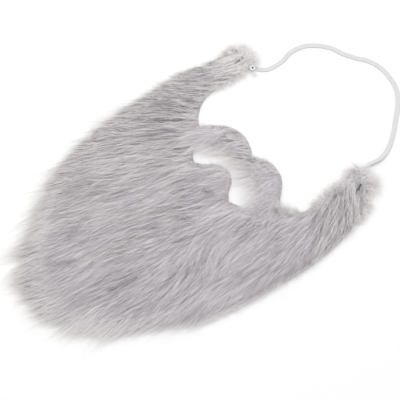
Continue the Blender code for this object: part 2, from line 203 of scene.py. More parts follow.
FRINGES = (
    Fringe(-104, 130, -2, 3.4), Fringe(-113, 80, -2.5, 4.2), Fringe(-115, 30, -5, 7.0),
    Fringe(-113, -10, -6, 7.2), Fringe(-106, -50, -6, 8.2), Fringe(-88, -88, -7, 10.5),
    Fringe(-66, -120, -7, 10.5), Fringe(-42, -148, 1.5, 8.6), Fringe(-10, -156, 2.5, 8.2),
    Fringe(30, -142, -2, 8.4), Fringe(58, -112, -4, 8.6), Fringe(78, -78, -4.5, 6.2),
    Fringe(90, -56, -11, 5.2), Fringe(104, -20, -6, 5.2), Fringe(112, 15, -7.5, 3.0),
    Fringe(118, 50, -7, 2.0), Fringe(118, 85, -5.5, 2.2), Fringe(108, 130, -4, 3.4),
    Fringe(95, 155, -9, 3.0), Fringe(-99, 155, -5, 3.0),
)
MOUTH_FRINGE = Fringe(0, 70, -5, 3.8)

# Stretches of the edge with longer, paler fluff: the sideburns' inner edges and the moustache's corners.
FLUFFY = (
    Spot(70, 120, 24, 1.0), Spot(62, 84, 17, 1.0), Spot(104, 132, 12, 0.4), Spot(-74, 128, 20, 0.55),
    Spot(-62, 80, 10, 0.3), Spot(20, 101, 12, 0.35),
)

# The ends of the barbs that hair lies over.
BARB_ENDS = (
    Spot(-81.2, 153.6, 4.0, 1.0),
)

# Where the fluff is short: round the loop of the elastic, and at the outer corner of the right sideburn.
BARE = (
    Spot(-69, 152.5, 8, 1.0), Spot(103, 152, 10, 0.7),
)

# Where the coat thins and its hair is painted paler, as painted light through the thin fur, besides the ends of
# the sideburns.
PALE = (
    Spot(102, 146, 15, 0.9), Spot(109, 130, 10, 0.6), Spot(74, 140, 9, 0.6), Spot(84, 153, 13, 1.0),
)

# Partings between the locks, where the pile thins and painted shade darkens the hair.
SLITS = (
    Slit(-44.6, -74, -42, -86.5, 2.6), Slit(16, 5, 9, -1, 3.4), Slit(-24, -142.5, -35, -151, 1.8),
    Slit(8, 41, 3, 34, 3.2), Slit(84, 134, 81, 126, 2.6), Slit(-101, 141, -103, 134, 2.0),
    Slit(100.5, 134, 106.5, 131.5, 2.0), Slit(-18, -96, -30, -118, 2.0), Slit(-70, -38, -80, -62, 1.8),
    Slit(28, -64, 24, -88, 1.8),
)

# The bars of the barbs, with the parting that each keeps open in the pile.
BARB_PARTINGS = (
    Slit(-84.6, 149.8, -84.6, 146.2, 2.4), Slit(87.3, 148.6, 91.6, 139.2, 2.8),
)

ELASTIC_ROUTE = (
    (-84.6, 149), (-78, 152), (-69, 157), (-61, 166), (-59, 181), (-61, 195), (-58, 209), (-50, 220),
    (-40, 228), (-27, 233), (-16, 239), (-6, 246), (8, 250), (23, 249), (36, 244.5), (47.5, 235),
    (58, 222), (67.5, 210), (75.5, 196), (78.5, 182), (75.5, 166), (79, 154), (89.3, 144.7),
)


def to_row(places: Iterable[Sequence[float]]) -> Array:
    """Moves places from the pattern to the row frame.

    Args:
        places: Points of the pattern, in millimetres.

    Returns:
        The points in metres, one row each.
    """
    return (np.array(list(places), float) - PANEL_MIDDLE) * MM


def smooth_loop(edges: Sequence[Edge], steps: int = 6) -> Array:
    """Rounds a cut outline between its sharp points.

    Args:
        edges: The outline's points.
        steps: Points made for each span.

    Returns:
        The closed outline in metres, one row a point.
    """
    points = to_row((edge.x, edge.y) for edge in edges)
    before = np.roll(points, 1, axis=0)
    after = np.roll(points, -1, axis=0)
    sharp = np.array([edge.sharp for edge in edges])[:, None]
    leaving = np.where(sharp, after - points, (after - before) / 2)
    arriving = np.where(sharp, points - before, (after - before) / 2)
    share = np.arange(steps)[None, :, None] / steps
    start, end = points[:, None], after[:, None]
    pull_out, pull_in = leaving[:, None], np.roll(arriving, -1, axis=0)[:, None]
    loop = (
        (2 * share**3 - 3 * share**2 + 1) * start
        + (share**3 - 2 * share**2 + share) * pull_out
        + (3 * share**2 - 2 * share**3) * end
        + (share**3 - share**2) * pull_in
    )
    return loop.reshape(-1, 2)


def smooth_route(points: Array, spacing: float) -> Array:
    """Draws one smooth curve through points, at even spacing.

    Args:
        points: The points to pass through, one row each.
        spacing: The distance between the points that are returned.

    Returns:
        Points along the curve, one row each.
    """
    padded = np.vstack((2 * points[0] - points[1], points, 2 * points[-1] - points[-2]))
    share = (np.arange(24) / 24)[:, None]
    spans = []
    for before, start, end, after in zip(padded, padded[1:], padded[2:], padded[3:]):
        spans.append(
            0.5
            * (
                2 * start
                + (end - before) * share
                + (2 * before - 5 * start + 4 * end - after) * share**2
                + (3 * start - before - 3 * end + after) * share**3
            )
        )
    fine = np.vstack((*spans, points[-1:]))
    travelled = np.concatenate(([0], np.cumsum(np.linalg.norm(np.diff(fine, axis=0), axis=1))))
    stations = np.linspace(0, travelled[-1], round(travelled[-1] / spacing) + 1)
    return np.stack([np.interp(stations, travelled, fine[:, axis]) for axis in range(2)], axis=1)


def gap_to_line(points: Array, start: Array, end: Array) -> Array:
    """The distance from each point to the straight line between two places.

    Args:
        points: Some points, one row each.
        start: One end of the line.
        end: Its other end.

    Returns:
        One distance for each point.
    """
    along = end - start
    share = np.clip(((points - start) @ along) / max(along @ along, 1e-12), 0, 1)
    return np.linalg.norm(points - start - share[:, None] * along, axis=1)


def gap_to_loop(points: Array, loop: Array) -> Array:
    """The distance from each point to the nearest stretch of a closed loop.

    Args:
        points: Some points, one row each.
        loop: The loop's points, one row each.

    Returns:
        One distance for each point.
    """
    nearest = np.full(len(points), np.inf)
    for start, end in zip(loop, np.roll(loop, -1, axis=0)):
        nearest = np.minimum(nearest, gap_to_line(points, start, end))
    return nearest


def within(points: Array, loop: Array) -> Array:
    """Whether each point lies inside a closed loop.

    Args:
        points: Some points, one row each.
        loop: The loop's points, one row each.

    Returns:
        One truth value for each point.
    """
    found = np.zeros(len(points), bool)
    x, y = points.T
    for (start_x, start_y), (end_x, end_y) in zip(loop, np.roll(loop, -1, axis=0)):
        spans = (start_y > y) != (end_y > y)
        crossing = start_x + (y - start_y) / (end_y - start_y + 1e-15) * (end_x - start_x)
        found ^= spans & (x < crossing)
    return found


def smooth_share(value: Array, low: float, high: float) -> Array:
    """How far each value has gone from low to high, eased at both ends, from 0 to 1."""
    share = np.clip((value - low) / (high - low), 0, 1)
    return share * share * (3 - 2 * share)


def curl_of(y: Array) -> Array:
    """How far the ends of the sideburns have risen off the floor at each y, in metres."""
    return CURL_RISE * np.clip((y - CURL_START) / CURL_RUN, 0, None) ** 2


class Region(Enum):
    """The areas of the pelt that are dressed one at a time, each as its own piece."""

    LEFT_SIDEBURN = "fur_left_sideburn"
    RIGHT_SIDEBURN = "fur_right_sideburn"
    MOUSTACHE = "fur_moustache"
    LIP_LOBE = "fur_lip_lobe"
    LEFT_CHEEK = "fur_left_cheek"
    RIGHT_CHEEK = "fur_right_cheek"
    LEFT_CHIN = "fur_left_chin"
    RIGHT_CHIN = "fur_right_chin"

    @property
    def short(self) -> bool:
        """Whether this area has the short coat."""
        return self in (Region.MOUSTACHE, Region.LIP_LOBE)

    def holds(self, places: Array) -> Array:
        """Tells which places belong to this area.

        Args:
            places: Points of the pattern, in millimetres.

        Returns:
            One truth value for each point.
        """
        x, y = places.T
        moustache = (np.abs(x) < 56) & (y > 67) & (y < 108)
        lip_lobe = (np.abs(x) < 27) & (y > 44) & (y <= 67)
        sideburn = (np.abs(x) >= 56) & (y > 88)
        chin = y < -38
        rest = ~(moustache | lip_lobe | sideburn | chin)
        return {
            Region.LEFT_SIDEBURN: sideburn & (x < 0),
            Region.RIGHT_SIDEBURN: sideburn & (x >= 0),
            Region.MOUSTACHE: moustache,
            Region.LIP_LOBE: lip_lobe,
            Region.LEFT_CHEEK: rest & (x < 0),
            Region.RIGHT_CHEEK: rest & (x >= 0),
            Region.LEFT_CHIN: chin & (x < -8),
            Region.RIGHT_CHIN: chin & (x >= -8),
        }[self]


@dataclass
class PeltMap:
    """What the pelt is like at each place: its depth in the cloth, its combing and the length of its hair."""

    cell: float = 2 * MM
    half_width: float = 142 * MM
    half_length: float = 186 * MM
    cloth_top: float = 1.4 * MM
    pile_height: float = 9.0 * MM
    edge_height: float = 3.2 * MM
    fall_inside: float = 15 * MM
    fall_outside: float = 9 * MM
    stride: float = 3 * MM
    combing_reach: float = 8
    hair_length: float = 36 * MM
    short_length: float = 21 * MM
    sideburn_length: float = 30 * MM
    cloth_loop: Array = field(init=False)
    mouth_loop: Array = field(init=False)
    places: Array = field(init=False)
    depth_grid: Array = field(init=False)

    def __post_init__(self) -> None:
        """Draws the outlines and measures the depth in the cloth over the whole grid."""
        self.cloth_loop = smooth_loop(CLOTH_OUTLINE)
        self.mouth_loop = smooth_loop(MOUTH_OUTLINE)
        across = np.arange(-self.half_width, self.half_width + self.cell / 2, self.cell)
        along = np.arange(-self.half_length, self.half_length + self.cell / 2, self.cell)
        grid_x, grid_y = np.meshgrid(across, along)
        self.places = np.stack((grid_x, grid_y), axis=-1)
        self.depth_grid = self.measure_depth(self.places.reshape(-1, 2)).reshape(grid_x.shape)

    def measure_depth(self, points: Array) -> Array:
        """Measures how far each point is from the cloth's edge.

        Args:
            points: Places in the row frame, one row each.

        Returns:
            The depth at each place, in metres.
        """
        gap = np.minimum(gap_to_loop(points, self.cloth_loop), gap_to_loop(points, self.mouth_loop))
        on_cloth = within(points, self.cloth_loop) & ~within(points, self.mouth_loop)
        return np.where(on_cloth, gap, -gap)

    def depth_at(self, points: Array) -> Array:
        """Reads the depth in the cloth off the grid.

        Args:
            points: Places in the row frame, one row each.

        Returns:
            The depth at each place in metres, negative past the cloth's edge.
        """
        rows, columns = self.depth_grid.shape
        column = np.clip((points[:, 0] + self.half_width) / self.cell, 0, columns - 1.001)
        row = np.clip((points[:, 1] + self.half_length) / self.cell, 0, rows - 1.001)
        low_column, low_row = column.astype(int), row.astype(int)
        right, up = column - low_column, row - low_row
        grid = self.depth_grid
        near = grid[low_row, low_column] * (1 - right) + grid[low_row, low_column + 1] * right
        far = grid[low_row + 1, low_column] * (1 - right) + grid[low_row + 1, low_column + 1] * right
        return near * (1 - up) + far * up

    def pattern_places(self, points: Array) -> Array:
        """The same points in the pattern's millimetres."""
        return points / MM + PANEL_MIDDLE

    def direction_at(self, points: Array) -> Array:
        """Blends the combing by nearness into the direction in which the pile lies.

        Args:
            points: Places in the row frame, one row each.

        Returns:
            Unit vectors, one row each.
        """
        places = self.pattern_places(points)
        total = np.zeros(len(places))
        turned = np.zeros(len(places))
        for guide in COMBING:
            gap = np.hypot(places[:, 0] - guide.x, places[:, 1] - guide.y)
            weight = 1 / (gap**2 + self.combing_reach**2) ** 1.5
            total += weight
            turned += weight * guide.heading
        heading = np.radians(turned / total)
        return np.stack((np.sin(heading), -np.cos(heading)), axis=1)

    def fringe_at(self, points: Array) -> tuple[Array, Array]:
        """How the hair ends past the cloth near each place.

        Args:
            points: Places in the row frame, one row each.

        Returns:
            The overhang and the fade at each place, in metres.
        """
        places = self.pattern_places(points)
        total = np.zeros(len(places))
        overhang = np.zeros(len(places))
        fade = np.zeros(len(places))
        for fringe in FRINGES:
            weight = 1 / (np.hypot(places[:, 0] - fringe.x, places[:, 1] - fringe.y) ** 3 + 30)
            total += weight
            overhang += weight * fringe.overhang
            fade += weight * fringe.fade
        in_mouth = (np.abs(places[:, 0]) < 45) & (places[:, 1] > 40) & (places[:, 1] < 82)
        overhang = np.where(in_mouth, MOUTH_FRINGE.overhang, overhang / total)
        fade = np.where(in_mouth, MOUTH_FRINGE.fade, fade / total)
        return overhang * MM, fade * MM

    def outward_at(self, points: Array) -> Array:
        """Finds the way to the nearest edge of the cloth.

        Args:
            points: Places in the row frame, one row each.

        Returns:
            Unit vectors, one row each.
        """
        steps = ((self.cell, 0.0), (0.0, self.cell))
        slopes = [self.depth_at(points + step) - self.depth_at(points - step) for step in steps]
        uphill = np.stack(slopes, axis=1)
        return -uphill / np.maximum(np.linalg.norm(uphill, axis=1), 1e-9)[:, None]

    def blocked(self, points: Array) -> Array:
        """Whether each place lies in the parting of a barb."""
        return np.any([slit.gap_to(points) < slit.width / 2 * MM for slit in BARB_PARTINGS], axis=0)

    def walk(self, roots: Array, furthest: float = 66 * MM) -> Array:
        """Follows the combing from each root.

        Args:
            roots: The places where the hair starts, one row each.
            furthest: The longest walk.

        Returns:
            How far a hair can lie before it meets the limit of the overhang, in metres.
        """
        place = roots.copy()
        reach = np.zeros(len(roots))
        open_way = np.ones(len(roots), bool)
        for _ in range(int(furthest / self.stride)):
            ahead = place + self.direction_at(place) * self.stride
            open_way &= (self.depth_at(ahead) + self.fringe_at(ahead)[0] > 0) & ~self.blocked(ahead)
            place[open_way] = ahead[open_way]
            reach[open_way] += self.stride
        return reach

    def pile_at(self, points: Array) -> Array:
        """The height of the top of the pile over the cloth, falling off round the edges.

        Args:
            points: Places in the row frame, one row each.

        Returns:
            The height at each place, in metres.
        """
        depth = self.depth_at(points)
        inner = smooth_share(depth, 0, self.fall_inside)
        outer = smooth_share(depth, -self.fall_outside, 0)
        height = outer * (self.edge_height + inner * (self.pile_height - self.edge_height))
        return np.maximum(height * (1 - 0.45 * self.pale_at(points)), 0.5 * MM)

    def floor_at(self, points: Array) -> Array:
        """The height at which the hair starts: the cloth's top, and just over the floor past the cloth."""
        share = smooth_share(self.depth_at(points), -4 * MM, 1 * MM)
        return 0.4 * MM + share * (self.cloth_top - 0.4 * MM)

    def length_at(self, points: Array) -> Array:
        """The length of the hair: short round the mouth, middling on the sideburns, long below.

        Args:
            points: Places in the row frame, one row each.

        Returns:
            The length at each place, in metres.
        """
        x, y = self.pattern_places(points).T
        short = smooth_share(y, 38, 66) * (1 - smooth_share(np.abs(x), 40, 62))
        sideburn = smooth_share(y, 70, 120)
        length = self.hair_length + sideburn * (self.sideburn_length - self.hair_length)
        return length + short * (self.short_length - length)

    def pale_at(self, points: Array) -> Array:
        """How pale and thin the hair is at each place: most at the ends of the sideburns."""
        y = self.pattern_places(points)[:, 1]
        return np.maximum(smooth_share(y, 133, 155), self.patches_at(points, PALE))

    def patches_at(self, points: Array, patches: Sequence[Spot]) -> Array:
        """How much the given patches act at each place, fading over their rims."""
        places = self.pattern_places(points)
        return np.max([patch.share_at(places) for patch in patches], axis=0)

    def slits_at(self, points: Array, spread: float = 1) -> Array:
        """How far each place lies in a parting, from 0 to 1, with the partings' widths times a spread.

        Args:
            points: Places in the row frame, one row each.
            spread: The factor on the widths.

        Returns:
            The share at each place.
        """
        gaps = [slit.gap_to(points) / (slit.width * spread * MM) for slit in SLITS]
        return 1 - smooth_share(np.min(gaps, axis=0), 0.2, 0.5)

    def falling_at(self, points: Array) -> Array:
        """How much the hair at each place lies out over the nearest edge, from 0 to 1."""
        out = np.sum(self.direction_at(points) * self.outward_at(points), axis=1)
        return smooth_share(out, 0, 0.7)

    def cover_at(self, points: Array) -> Array:
        """How deeply other hair covers the hair of each place, from 0 at an edge to 1."""
        return smooth_share(self.depth_at(points), 1 * MM, 13 * MM) * (1 - 0.8 * self.pale_at(points))

    def density_at(self, points: Array) -> Array:
        """The share of the full number of hairs that grows at each place.

        Args:
            points: Places in the row frame, one row each.

        Returns:
            The share at each place.
        """
        depth = self.depth_at(points)
        density = np.where(depth > -self.cell, 1.0, 0.0)
        density = density * (1 - 0.72 * self.pale_at(points)) * (1 - 0.8 * self.slits_at(points))
        return np.where(self.blocked(points), 0.0, density)

    def tone_at(self, points: Array) -> Array:
        """The middle tone of the hair, with painted light where the fur thins at the edges and ends, and painted
        shade in the partings.

        Args:
            points: Places in the row frame, one row each.

        Returns:
            The tone at each place, from 0, dark, to 1, white.
        """
        pale = self.pale_at(points)
        # Painted shade: the partings darken the hair's tone below.
        slits = self.slits_at(points)
        x, y = self.pattern_places(points).T
        # Painted light: hair near the edges is painted lighter, as is the hair of the pale thin ends below,
        # standing in for light shining through thin fur.
        near_edge = 1 - smooth_share(self.depth_at(points), 0, 9 * MM)
        edge = near_edge * (0.15 + 0.10 * self.falling_at(points))
        upper = 0.06 * smooth_share(y, -80, 10) + 0.09 * smooth_share(-x, -70, 70)
        patched = 0.13 * self.patches_at(points, LIGHTER) - 0.10 * self.patches_at(points, DULLER)
        return 0.47 + upper + patched + 0.30 * pale - 0.3 * slits + edge


@dataclass(frozen=True)
class Signal:
    """What a socket gives. A number takes plain arithmetic, and each sign makes a Math node."""

    writer: NodeWriter
    socket: Socket

    def __add__(self, other: object) -> Signal:
        """The sum."""
        return self.writer.math("ADD", self, other)

    def __sub__(self, other: object) -> Signal:
        """The difference."""
        return self.writer.math("SUBTRACT", self, other)

    def __rsub__(self, other: object) -> Signal:
        """The difference from a plain number."""
        return self.writer.math("SUBTRACT", other, self)

    def __mul__(self, other: object) -> Signal:
        """The product."""
        return self.writer.math("MULTIPLY", self, other)

    def __truediv__(self, other: object) -> Signal:
        """The quotient."""
        return self.writer.math("DIVIDE", self, other)

    def __pow__(self, other: object) -> Signal:
        """The power."""
        return self.writer.math("POWER", self, other)

    def at_least(self, least: float) -> Signal:
        """The number, or the least one if it is lower."""
        return self.writer.math("MAXIMUM", self, least)

    def at_most(self, most: object) -> Signal:
        """The number, or the greatest one if it is higher."""
        return self.writer.math("MINIMUM", self, most)

    def centred(self, spread: object) -> Signal:
        """Turns a chance from 0 to 1 into a number from minus to plus the spread."""
        return (self * 2.0 - 1.0) * spread


class NodeWriter:
    """Adds nodes to a tree and joins them, for geometry and for materials."""

    def __init__(self, tree: bpy.types.NodeTree) -> None:
        """Takes the tree to write in."""
        self.tree = tree

    def feed(self, socket: Socket, value: object) -> None:
        """Links a socket to another one, or sets its value.

        Args:
            socket: The input to feed.
            value: A signal, another socket or a plain value.
        """
        value = value.socket if isinstance(value, Signal) else value
        if isinstance(value, bpy.types.NodeSocket):
            self.tree.links.new(value, socket)
        else:
            socket.default_value = value

    def add(self, kind: str, settings: dict[str, object] | None = None, **inputs: object) -> bpy.types.Node:
        """Adds a node.

        Args:
            kind: The node's type name.
            settings: Its properties, set before its sockets are fed.
            inputs: Values or sockets for its inputs, with a low line for each space in an input's name.

        Returns:
            The node.
        """
        node = self.tree.nodes.new(kind)
        node.location = (200 * (len(self.tree.nodes) % 24), -240 * (len(self.tree.nodes) // 24))
        for name, value in (settings or {}).items():
            setattr(node, name, value)
        for name, value in inputs.items():
            self.feed(node.inputs[name.replace("_", " ")], value)
        return node

    def given(self) -> dict[str, Signal]:
        """The inputs of the tree, by name."""
        return {socket.name: Signal(self, socket) for socket in self.add("NodeGroupInput").outputs}

    def math(self, operation: str, *values: object) -> Signal:
        """Works out a number.

        Args:
            operation: The Math node's operation.
            values: Its inputs, in order.

        Returns:
            The result.
        """
        node = self.add("ShaderNodeMath", {"operation": operation})
        for socket, value in zip(node.inputs, values):
            self.feed(socket, value)
        return Signal(self, node.outputs[0])

    def vector(self, operation: str, *values: object) -> Signal:
        """Works out a vector, or a number from vectors.

        Args:
            operation: The Vector Math node's operation.
            values: Its inputs, in order.

        Returns:
            The result.
        """
        node = self.add("ShaderNodeVectorMath", {"operation": operation})
        for socket, value in zip([socket for socket in node.inputs if socket.enabled], values):
            self.feed(socket, value)
        return Signal(self, next(socket for socket in node.outputs if socket.enabled))

    def scaled(self, vector: object, factor: object) -> Signal:
        """A vector times a number."""
        return self.vector("SCALE", vector, factor)

    def join(self, x: object = 0.0, y: object = 0.0, z: object = 0.0) -> Socket:
        """A vector from its three numbers."""
        return self.add("ShaderNodeCombineXYZ", None, X=x, Y=y, Z=z).outputs[0]

    def split(self, vector: object) -> list[Signal]:
        """The three numbers of a vector."""
        node = self.add("ShaderNodeSeparateXYZ", None, Vector=vector)
        return [Signal(self, socket) for socket in node.outputs]

    def turned(self, vector: object, angle: Signal) -> Socket:
        """A vector turned about the vertical by an angle."""
        node = self.add("ShaderNodeVectorRotate", {"rotation_type": "Z_AXIS"}, Vector=vector, Angle=angle)
        return node.outputs[0]

    def blended(self, start: object, end: object, share: object) -> Signal:
        """A number part of the way from start to end."""
        return self.math("ADD", start, self.math("SUBTRACT", end, start) * share)


@dataclass(frozen=True)
class Strands:
    """How one layer of hair is laid: its number, its sizes and how far its hairs stray from the combing.

    Angles are in degrees. A tuft is a few hairs that lie together and share a tone, and a lock is many tufts.
    """

    per_square_metre: float
    width: float
    seed: int
    turn: float = 3.2
    tuft_turn: float = 3.4
    lock_turn: float = 7
    tuft_pull: float = 0.7
    lock_pull: float = 0.15
    roll: float = 22
    tone_spread: float = 0.10
    # Painted light and shade across each tuft: lighter on its side towards the key light, darker on the other.
    painted_side_shade: float = 0.42
    # Painted shade for hairs that lie low in the pile, as deep fur is shaded.
    painted_sunk_shade: float = 0.34
    # A share of the tufts is painted darker, as painted shade of the partings between tufts.
    parting_shade_share: float = 0.022
    parting_shade_depth: float = 0.38
    low_layer: float = 0.20
    tuft_layers: float = 0.36
    hair_layers: float = 0.33
    wobble: float = 0.35 * MM
    stations: int = 4
    tuft_size: tuple[float, float] = (0.85 * MM, 8 * MM)
    lock_size: tuple[float, float] = (10 * MM, 34 * MM)


LONG_COAT = Strands(per_square_metre=1.9e6, width=0.27 * MM, seed=7)
SHORT_COAT = Strands(
    per_square_metre=2.6e6,
    width=0.24 * MM,
    seed=90,
    turn=8,
    tuft_turn=9,
    lock_turn=8,
    tone_spread=0.08,
    painted_side_shade=0.30,
    painted_sunk_shade=0.30,
    parting_shade_share=0.02,
    tuft_layers=0.35,
    hair_layers=0.40,
    wobble=0.35 * MM,
    tuft_size=(1.0 * MM, 5 * MM),
    lock_size=(8 * MM, 14 * MM),
)
RIM = Strands(
    per_square_metre=2.0e6,
    width=0.22 * MM,
    seed=180,
    turn=38,
    tuft_turn=16,
    lock_turn=10,
    tuft_pull=0.2,
    lock_pull=0.0,
    tone_spread=0.14,
    painted_side_shade=0.1,
    painted_sunk_shade=0.0,
    parting_shade_share=0.0,
    low_layer=0.15,
    tuft_layers=0.1,
    hair_layers=0.75,
    stations=3,
)
MOUTH_HAIR = Strands(
    per_square_metre=2.4e6,
    width=0.17 * MM,
    seed=270,
    turn=8,
    tuft_turn=12,
    lock_turn=5,
    tuft_pull=0.85,
    lock_pull=0.0,
    tone_spread=0.12,
    painted_side_shade=0.2,
    painted_sunk_shade=0.0,
    parting_shade_share=0.0,
    low_layer=0.2,
    tuft_layers=0.2,
    hair_layers=0.6,
    tuft_size=(1.6 * MM, 6 * MM),
)
STRAYS = Strands(
    per_square_metre=0.10e6,
    width=0.20 * MM,
    seed=360,
    turn=26,
    tuft_turn=14,
    lock_turn=8,
    tuft_pull=0.0,
    lock_pull=0.0,
    tone_spread=0.2,
    painted_side_shade=0.0,
    painted_sunk_shade=0.0,
    parting_shade_share=0.0,
    low_layer=0.82,
    tuft_layers=0.0,
    hair_layers=0.24,
    stations=5,
)
# Broad ribbons on top of the coat that paint dark lines of shade between tufts; the light ones below paint
# highlights.
SHADE_LINE_HAIRS = Strands(
    per_square_metre=0.026e6,
    width=0.62 * MM,
    seed=450,
    turn=7,
    tuft_turn=0,
    lock_turn=7,
    tuft_pull=0.0,
    lock_pull=0.0,
    roll=10,
    tone_spread=0.08,
    painted_side_shade=0.0,
    painted_sunk_shade=0.0,
    parting_shade_share=0.0,
    low_layer=0.86,
    tuft_layers=0.0,
    hair_layers=0.14,
    wobble=0.9 * MM,
    stations=6,
)
HIGHLIGHT_LINE_HAIRS = replace(SHADE_LINE_HAIRS, per_square_metre=0.03e6, seed=540, width=0.40 * MM)
SLIT_SHADE_HAIRS = replace(
    SHADE_LINE_HAIRS,
    per_square_metre=0.9e6,
    width=0.34 * MM,
    seed=630,
    turn=4,
    lock_turn=1,
    low_layer=1.6,
    stations=4,
)
BARB_HAIRS = replace(STRAYS, per_square_metre=2.2e6, seed=720, turn=16, hair_layers=0.3)


@dataclass
class StrandTree:
    """The node tree that grows ribbons of hair on a scalp mesh."""

    layer: Strands
    tree: bpy.types.NodeTree = field(init=False)
    writer: NodeWriter = field(init=False)
    identifiers: dict[str, str] = field(init=False, default_factory=dict)

    def __post_init__(self) -> None:
        """Builds the tree."""
        self.tree = bpy.data.node_groups.new("strands", "GeometryNodeTree")
        self.writer = NodeWriter(self.tree)
        self.build()

    def add_input(self, name: str, kind: str, value: object = None) -> None:
        """Adds a named input to the tree, with its value.

        Args:
            name: The input's name.
            kind: Its socket type.
            value: Its value, if it has one.
        """
        socket = self.tree.interface.new_socket(name, in_out="INPUT", socket_type=kind)
        if value is not None:
            socket.default_value = value
        self.identifiers[name] = socket.identifier

    def named(self, name: str, kind: str = "FLOAT") -> Socket:
        """Reads an attribute of the scalp."""
        node = self.writer.add("GeometryNodeInputNamedAttribute", {"data_type": kind}, Name=f"pelt_{name}")
        return next(socket for socket in node.outputs if socket.enabled)

    def stored(self, geometry: Socket, name: str, value: Socket, kind: str, domain: str = "POINT") -> Socket:
        """Writes an attribute on a geometry.

        Args:
            geometry: What carries the attribute.
            name: The attribute's name.
            value: Its value.
            kind: Its data type.
            domain: What it is stored on.

        Returns:
            The geometry with the attribute.
        """
        settings = {"data_type": kind, "domain": domain}
        node = self.writer.add("GeometryNodeStoreNamedAttribute", settings, Geometry=geometry, Name=name)
        self.writer.feed(node.inputs["Value"], value)
        return node.outputs[0]

    def number(self, name: str) -> Signal:
        """Reads a number of the scalp."""
        return Signal(self.writer, self.named(name))

    def chances(self, offset: float, seed: Signal) -> Socket:
        """Three random numbers from 0 to 1 for each hair.

        Args:
            offset: What is added to the seed.
            seed: The layer's seed.

        Returns:
            The numbers, as a vector.
        """
        node = self.writer.add("FunctionNodeRandomValue", {"data_type": "FLOAT_VECTOR"}, Seed=seed + offset)
        node.inputs[0].default_value = (0, 0, 0)
        node.inputs[1].default_value = (1, 1, 1)
        return node.outputs[0]

    def cells(self, root: Socket, size: Signal) -> tuple[Signal, list[Signal]]:
        """Sorts the roots into long cells, one for each tuft.

        Args:
            root: The place of a hair's root.
            size: The width and length of a cell, as a vector.

        Returns:
            The middle of the root's cell and three random numbers that its hairs share.
        """
        writer = self.writer
        place = writer.vector("DIVIDE", root, size)
        node = writer.add("ShaderNodeTexVoronoi", {"voronoi_dimensions": "2D"}, Vector=place, Scale=1.0)
        return writer.vector("MULTIPLY", node.outputs["Position"], size), writer.split(node.outputs["Color"])

    def add_inputs(self) -> None:
        """Adds the tree's named inputs, with the layer's sizes as their values."""
        layer = self.layer
        self.add_input("Scalp", "NodeSocketGeometry")
        self.add_input("Hair Material", "NodeSocketMaterial")
        self.add_input("Seed", "NodeSocketInt", layer.seed)
        for name, value in (
            ("Hairs per Square Metre", layer.per_square_metre),
            ("Width", layer.width),
            ("Stray Turn", math.radians(layer.turn)),
            ("Tuft Turn", math.radians(layer.tuft_turn)),
            ("Lock Turn", math.radians(layer.lock_turn)),
            ("Tuft Pull", layer.tuft_pull),
            ("Lock Pull", layer.lock_pull),
            ("Roll", math.radians(layer.roll)),
            ("Tone Spread", layer.tone_spread),
            ("Painted Side Shade", layer.painted_side_shade),
            ("Painted Sunk Shade", layer.painted_sunk_shade),
            ("Wobble", layer.wobble),
            ("Parting Shade Share", layer.parting_shade_share),
            ("Parting Shade Depth", layer.parting_shade_depth),
        ):
            self.add_input(name, "NodeSocketFloat", value)
        self.add_input("Tuft Size", "NodeSocketVector", (*layer.tuft_size, 1))
        self.add_input("Lock Size", "NodeSocketVector", (*layer.lock_size, 1))

    def ribbons(self, given: dict[str, Signal]) -> Socket:
        """Scatters the roots and makes a flat ribbon for each.

        Args:
            given: The tree's inputs.

        Returns:
            The ribbons, which carry their root, their chances and the places on the ribbon as attributes.
        """
        writer = self.writer
        scatter = writer.add(
            "GeometryNodeDistributePointsOnFaces",
            {"distribute_method": "RANDOM"},
            Mesh=given["Scalp"],
            Density=self.number("density") * given["Hairs per Square Metre"],
            Seed=given["Seed"],
        )
        roots = writer.add(
            "GeometryNodeDeleteGeometry",
            {"domain": "POINT"},
            Geometry=scatter.outputs["Points"],
            Selection=writer.math("LESS_THAN", self.number("depth"), 0.0),
        ).outputs[0]
        place = writer.add("GeometryNodeInputPosition").outputs[0]
        roots = self.stored(roots, "pelt_root", place, "FLOAT_VECTOR")
        roots = self.stored(roots, "pelt_chance", self.chances(1.0, given["Seed"]), "FLOAT_VECTOR")
        roots = self.stored(roots, "pelt_luck", self.chances(2.0, given["Seed"]), "FLOAT_VECTOR")
        ribbon = writer.add("GeometryNodeMeshGrid", None, Size_X=1.0, Size_Y=1.0, Vertices_X=2)
        ribbon.inputs["Vertices Y"].default_value = self.layer.stations
        flat = self.stored(ribbon.outputs["Mesh"], "pelt_place", place, "FLOAT_VECTOR")
        copies = writer.add("GeometryNodeInstanceOnPoints", None, Points=roots, Instance=flat)
        return writer.add("GeometryNodeRealizeInstances", None, Geometry=copies.outputs[0]).outputs[0]

    def build(self) -> None:
        """Writes the whole tree: roots, ribbons, their shape, their colour coordinates and their material."""
        self.tree.interface.new_socket("Hair", in_out="OUTPUT", socket_type="NodeSocketGeometry")
        self.add_inputs()
        writer, layer = self.writer, self.layer
        given = writer.given()
        hair = self.ribbons(given)

        across, from_middle, _ = writer.split(self.named("place", "FLOAT_VECTOR"))
        along = from_middle + 0.5
        root = self.named("root", "FLOAT_VECTOR")
        chance_a, chance_b, chance_c = writer.split(self.named("chance", "FLOAT_VECTOR"))
        luck_a, luck_b, luck_c = writer.split(self.named("luck", "FLOAT_VECTOR"))
        tuft_middle, (tuft_a, tuft_b, tuft_c) = self.cells(root, given["Tuft Size"])
        lock_middle, (lock_a, lock_b, lock_c) = self.cells(root, given["Lock Size"])

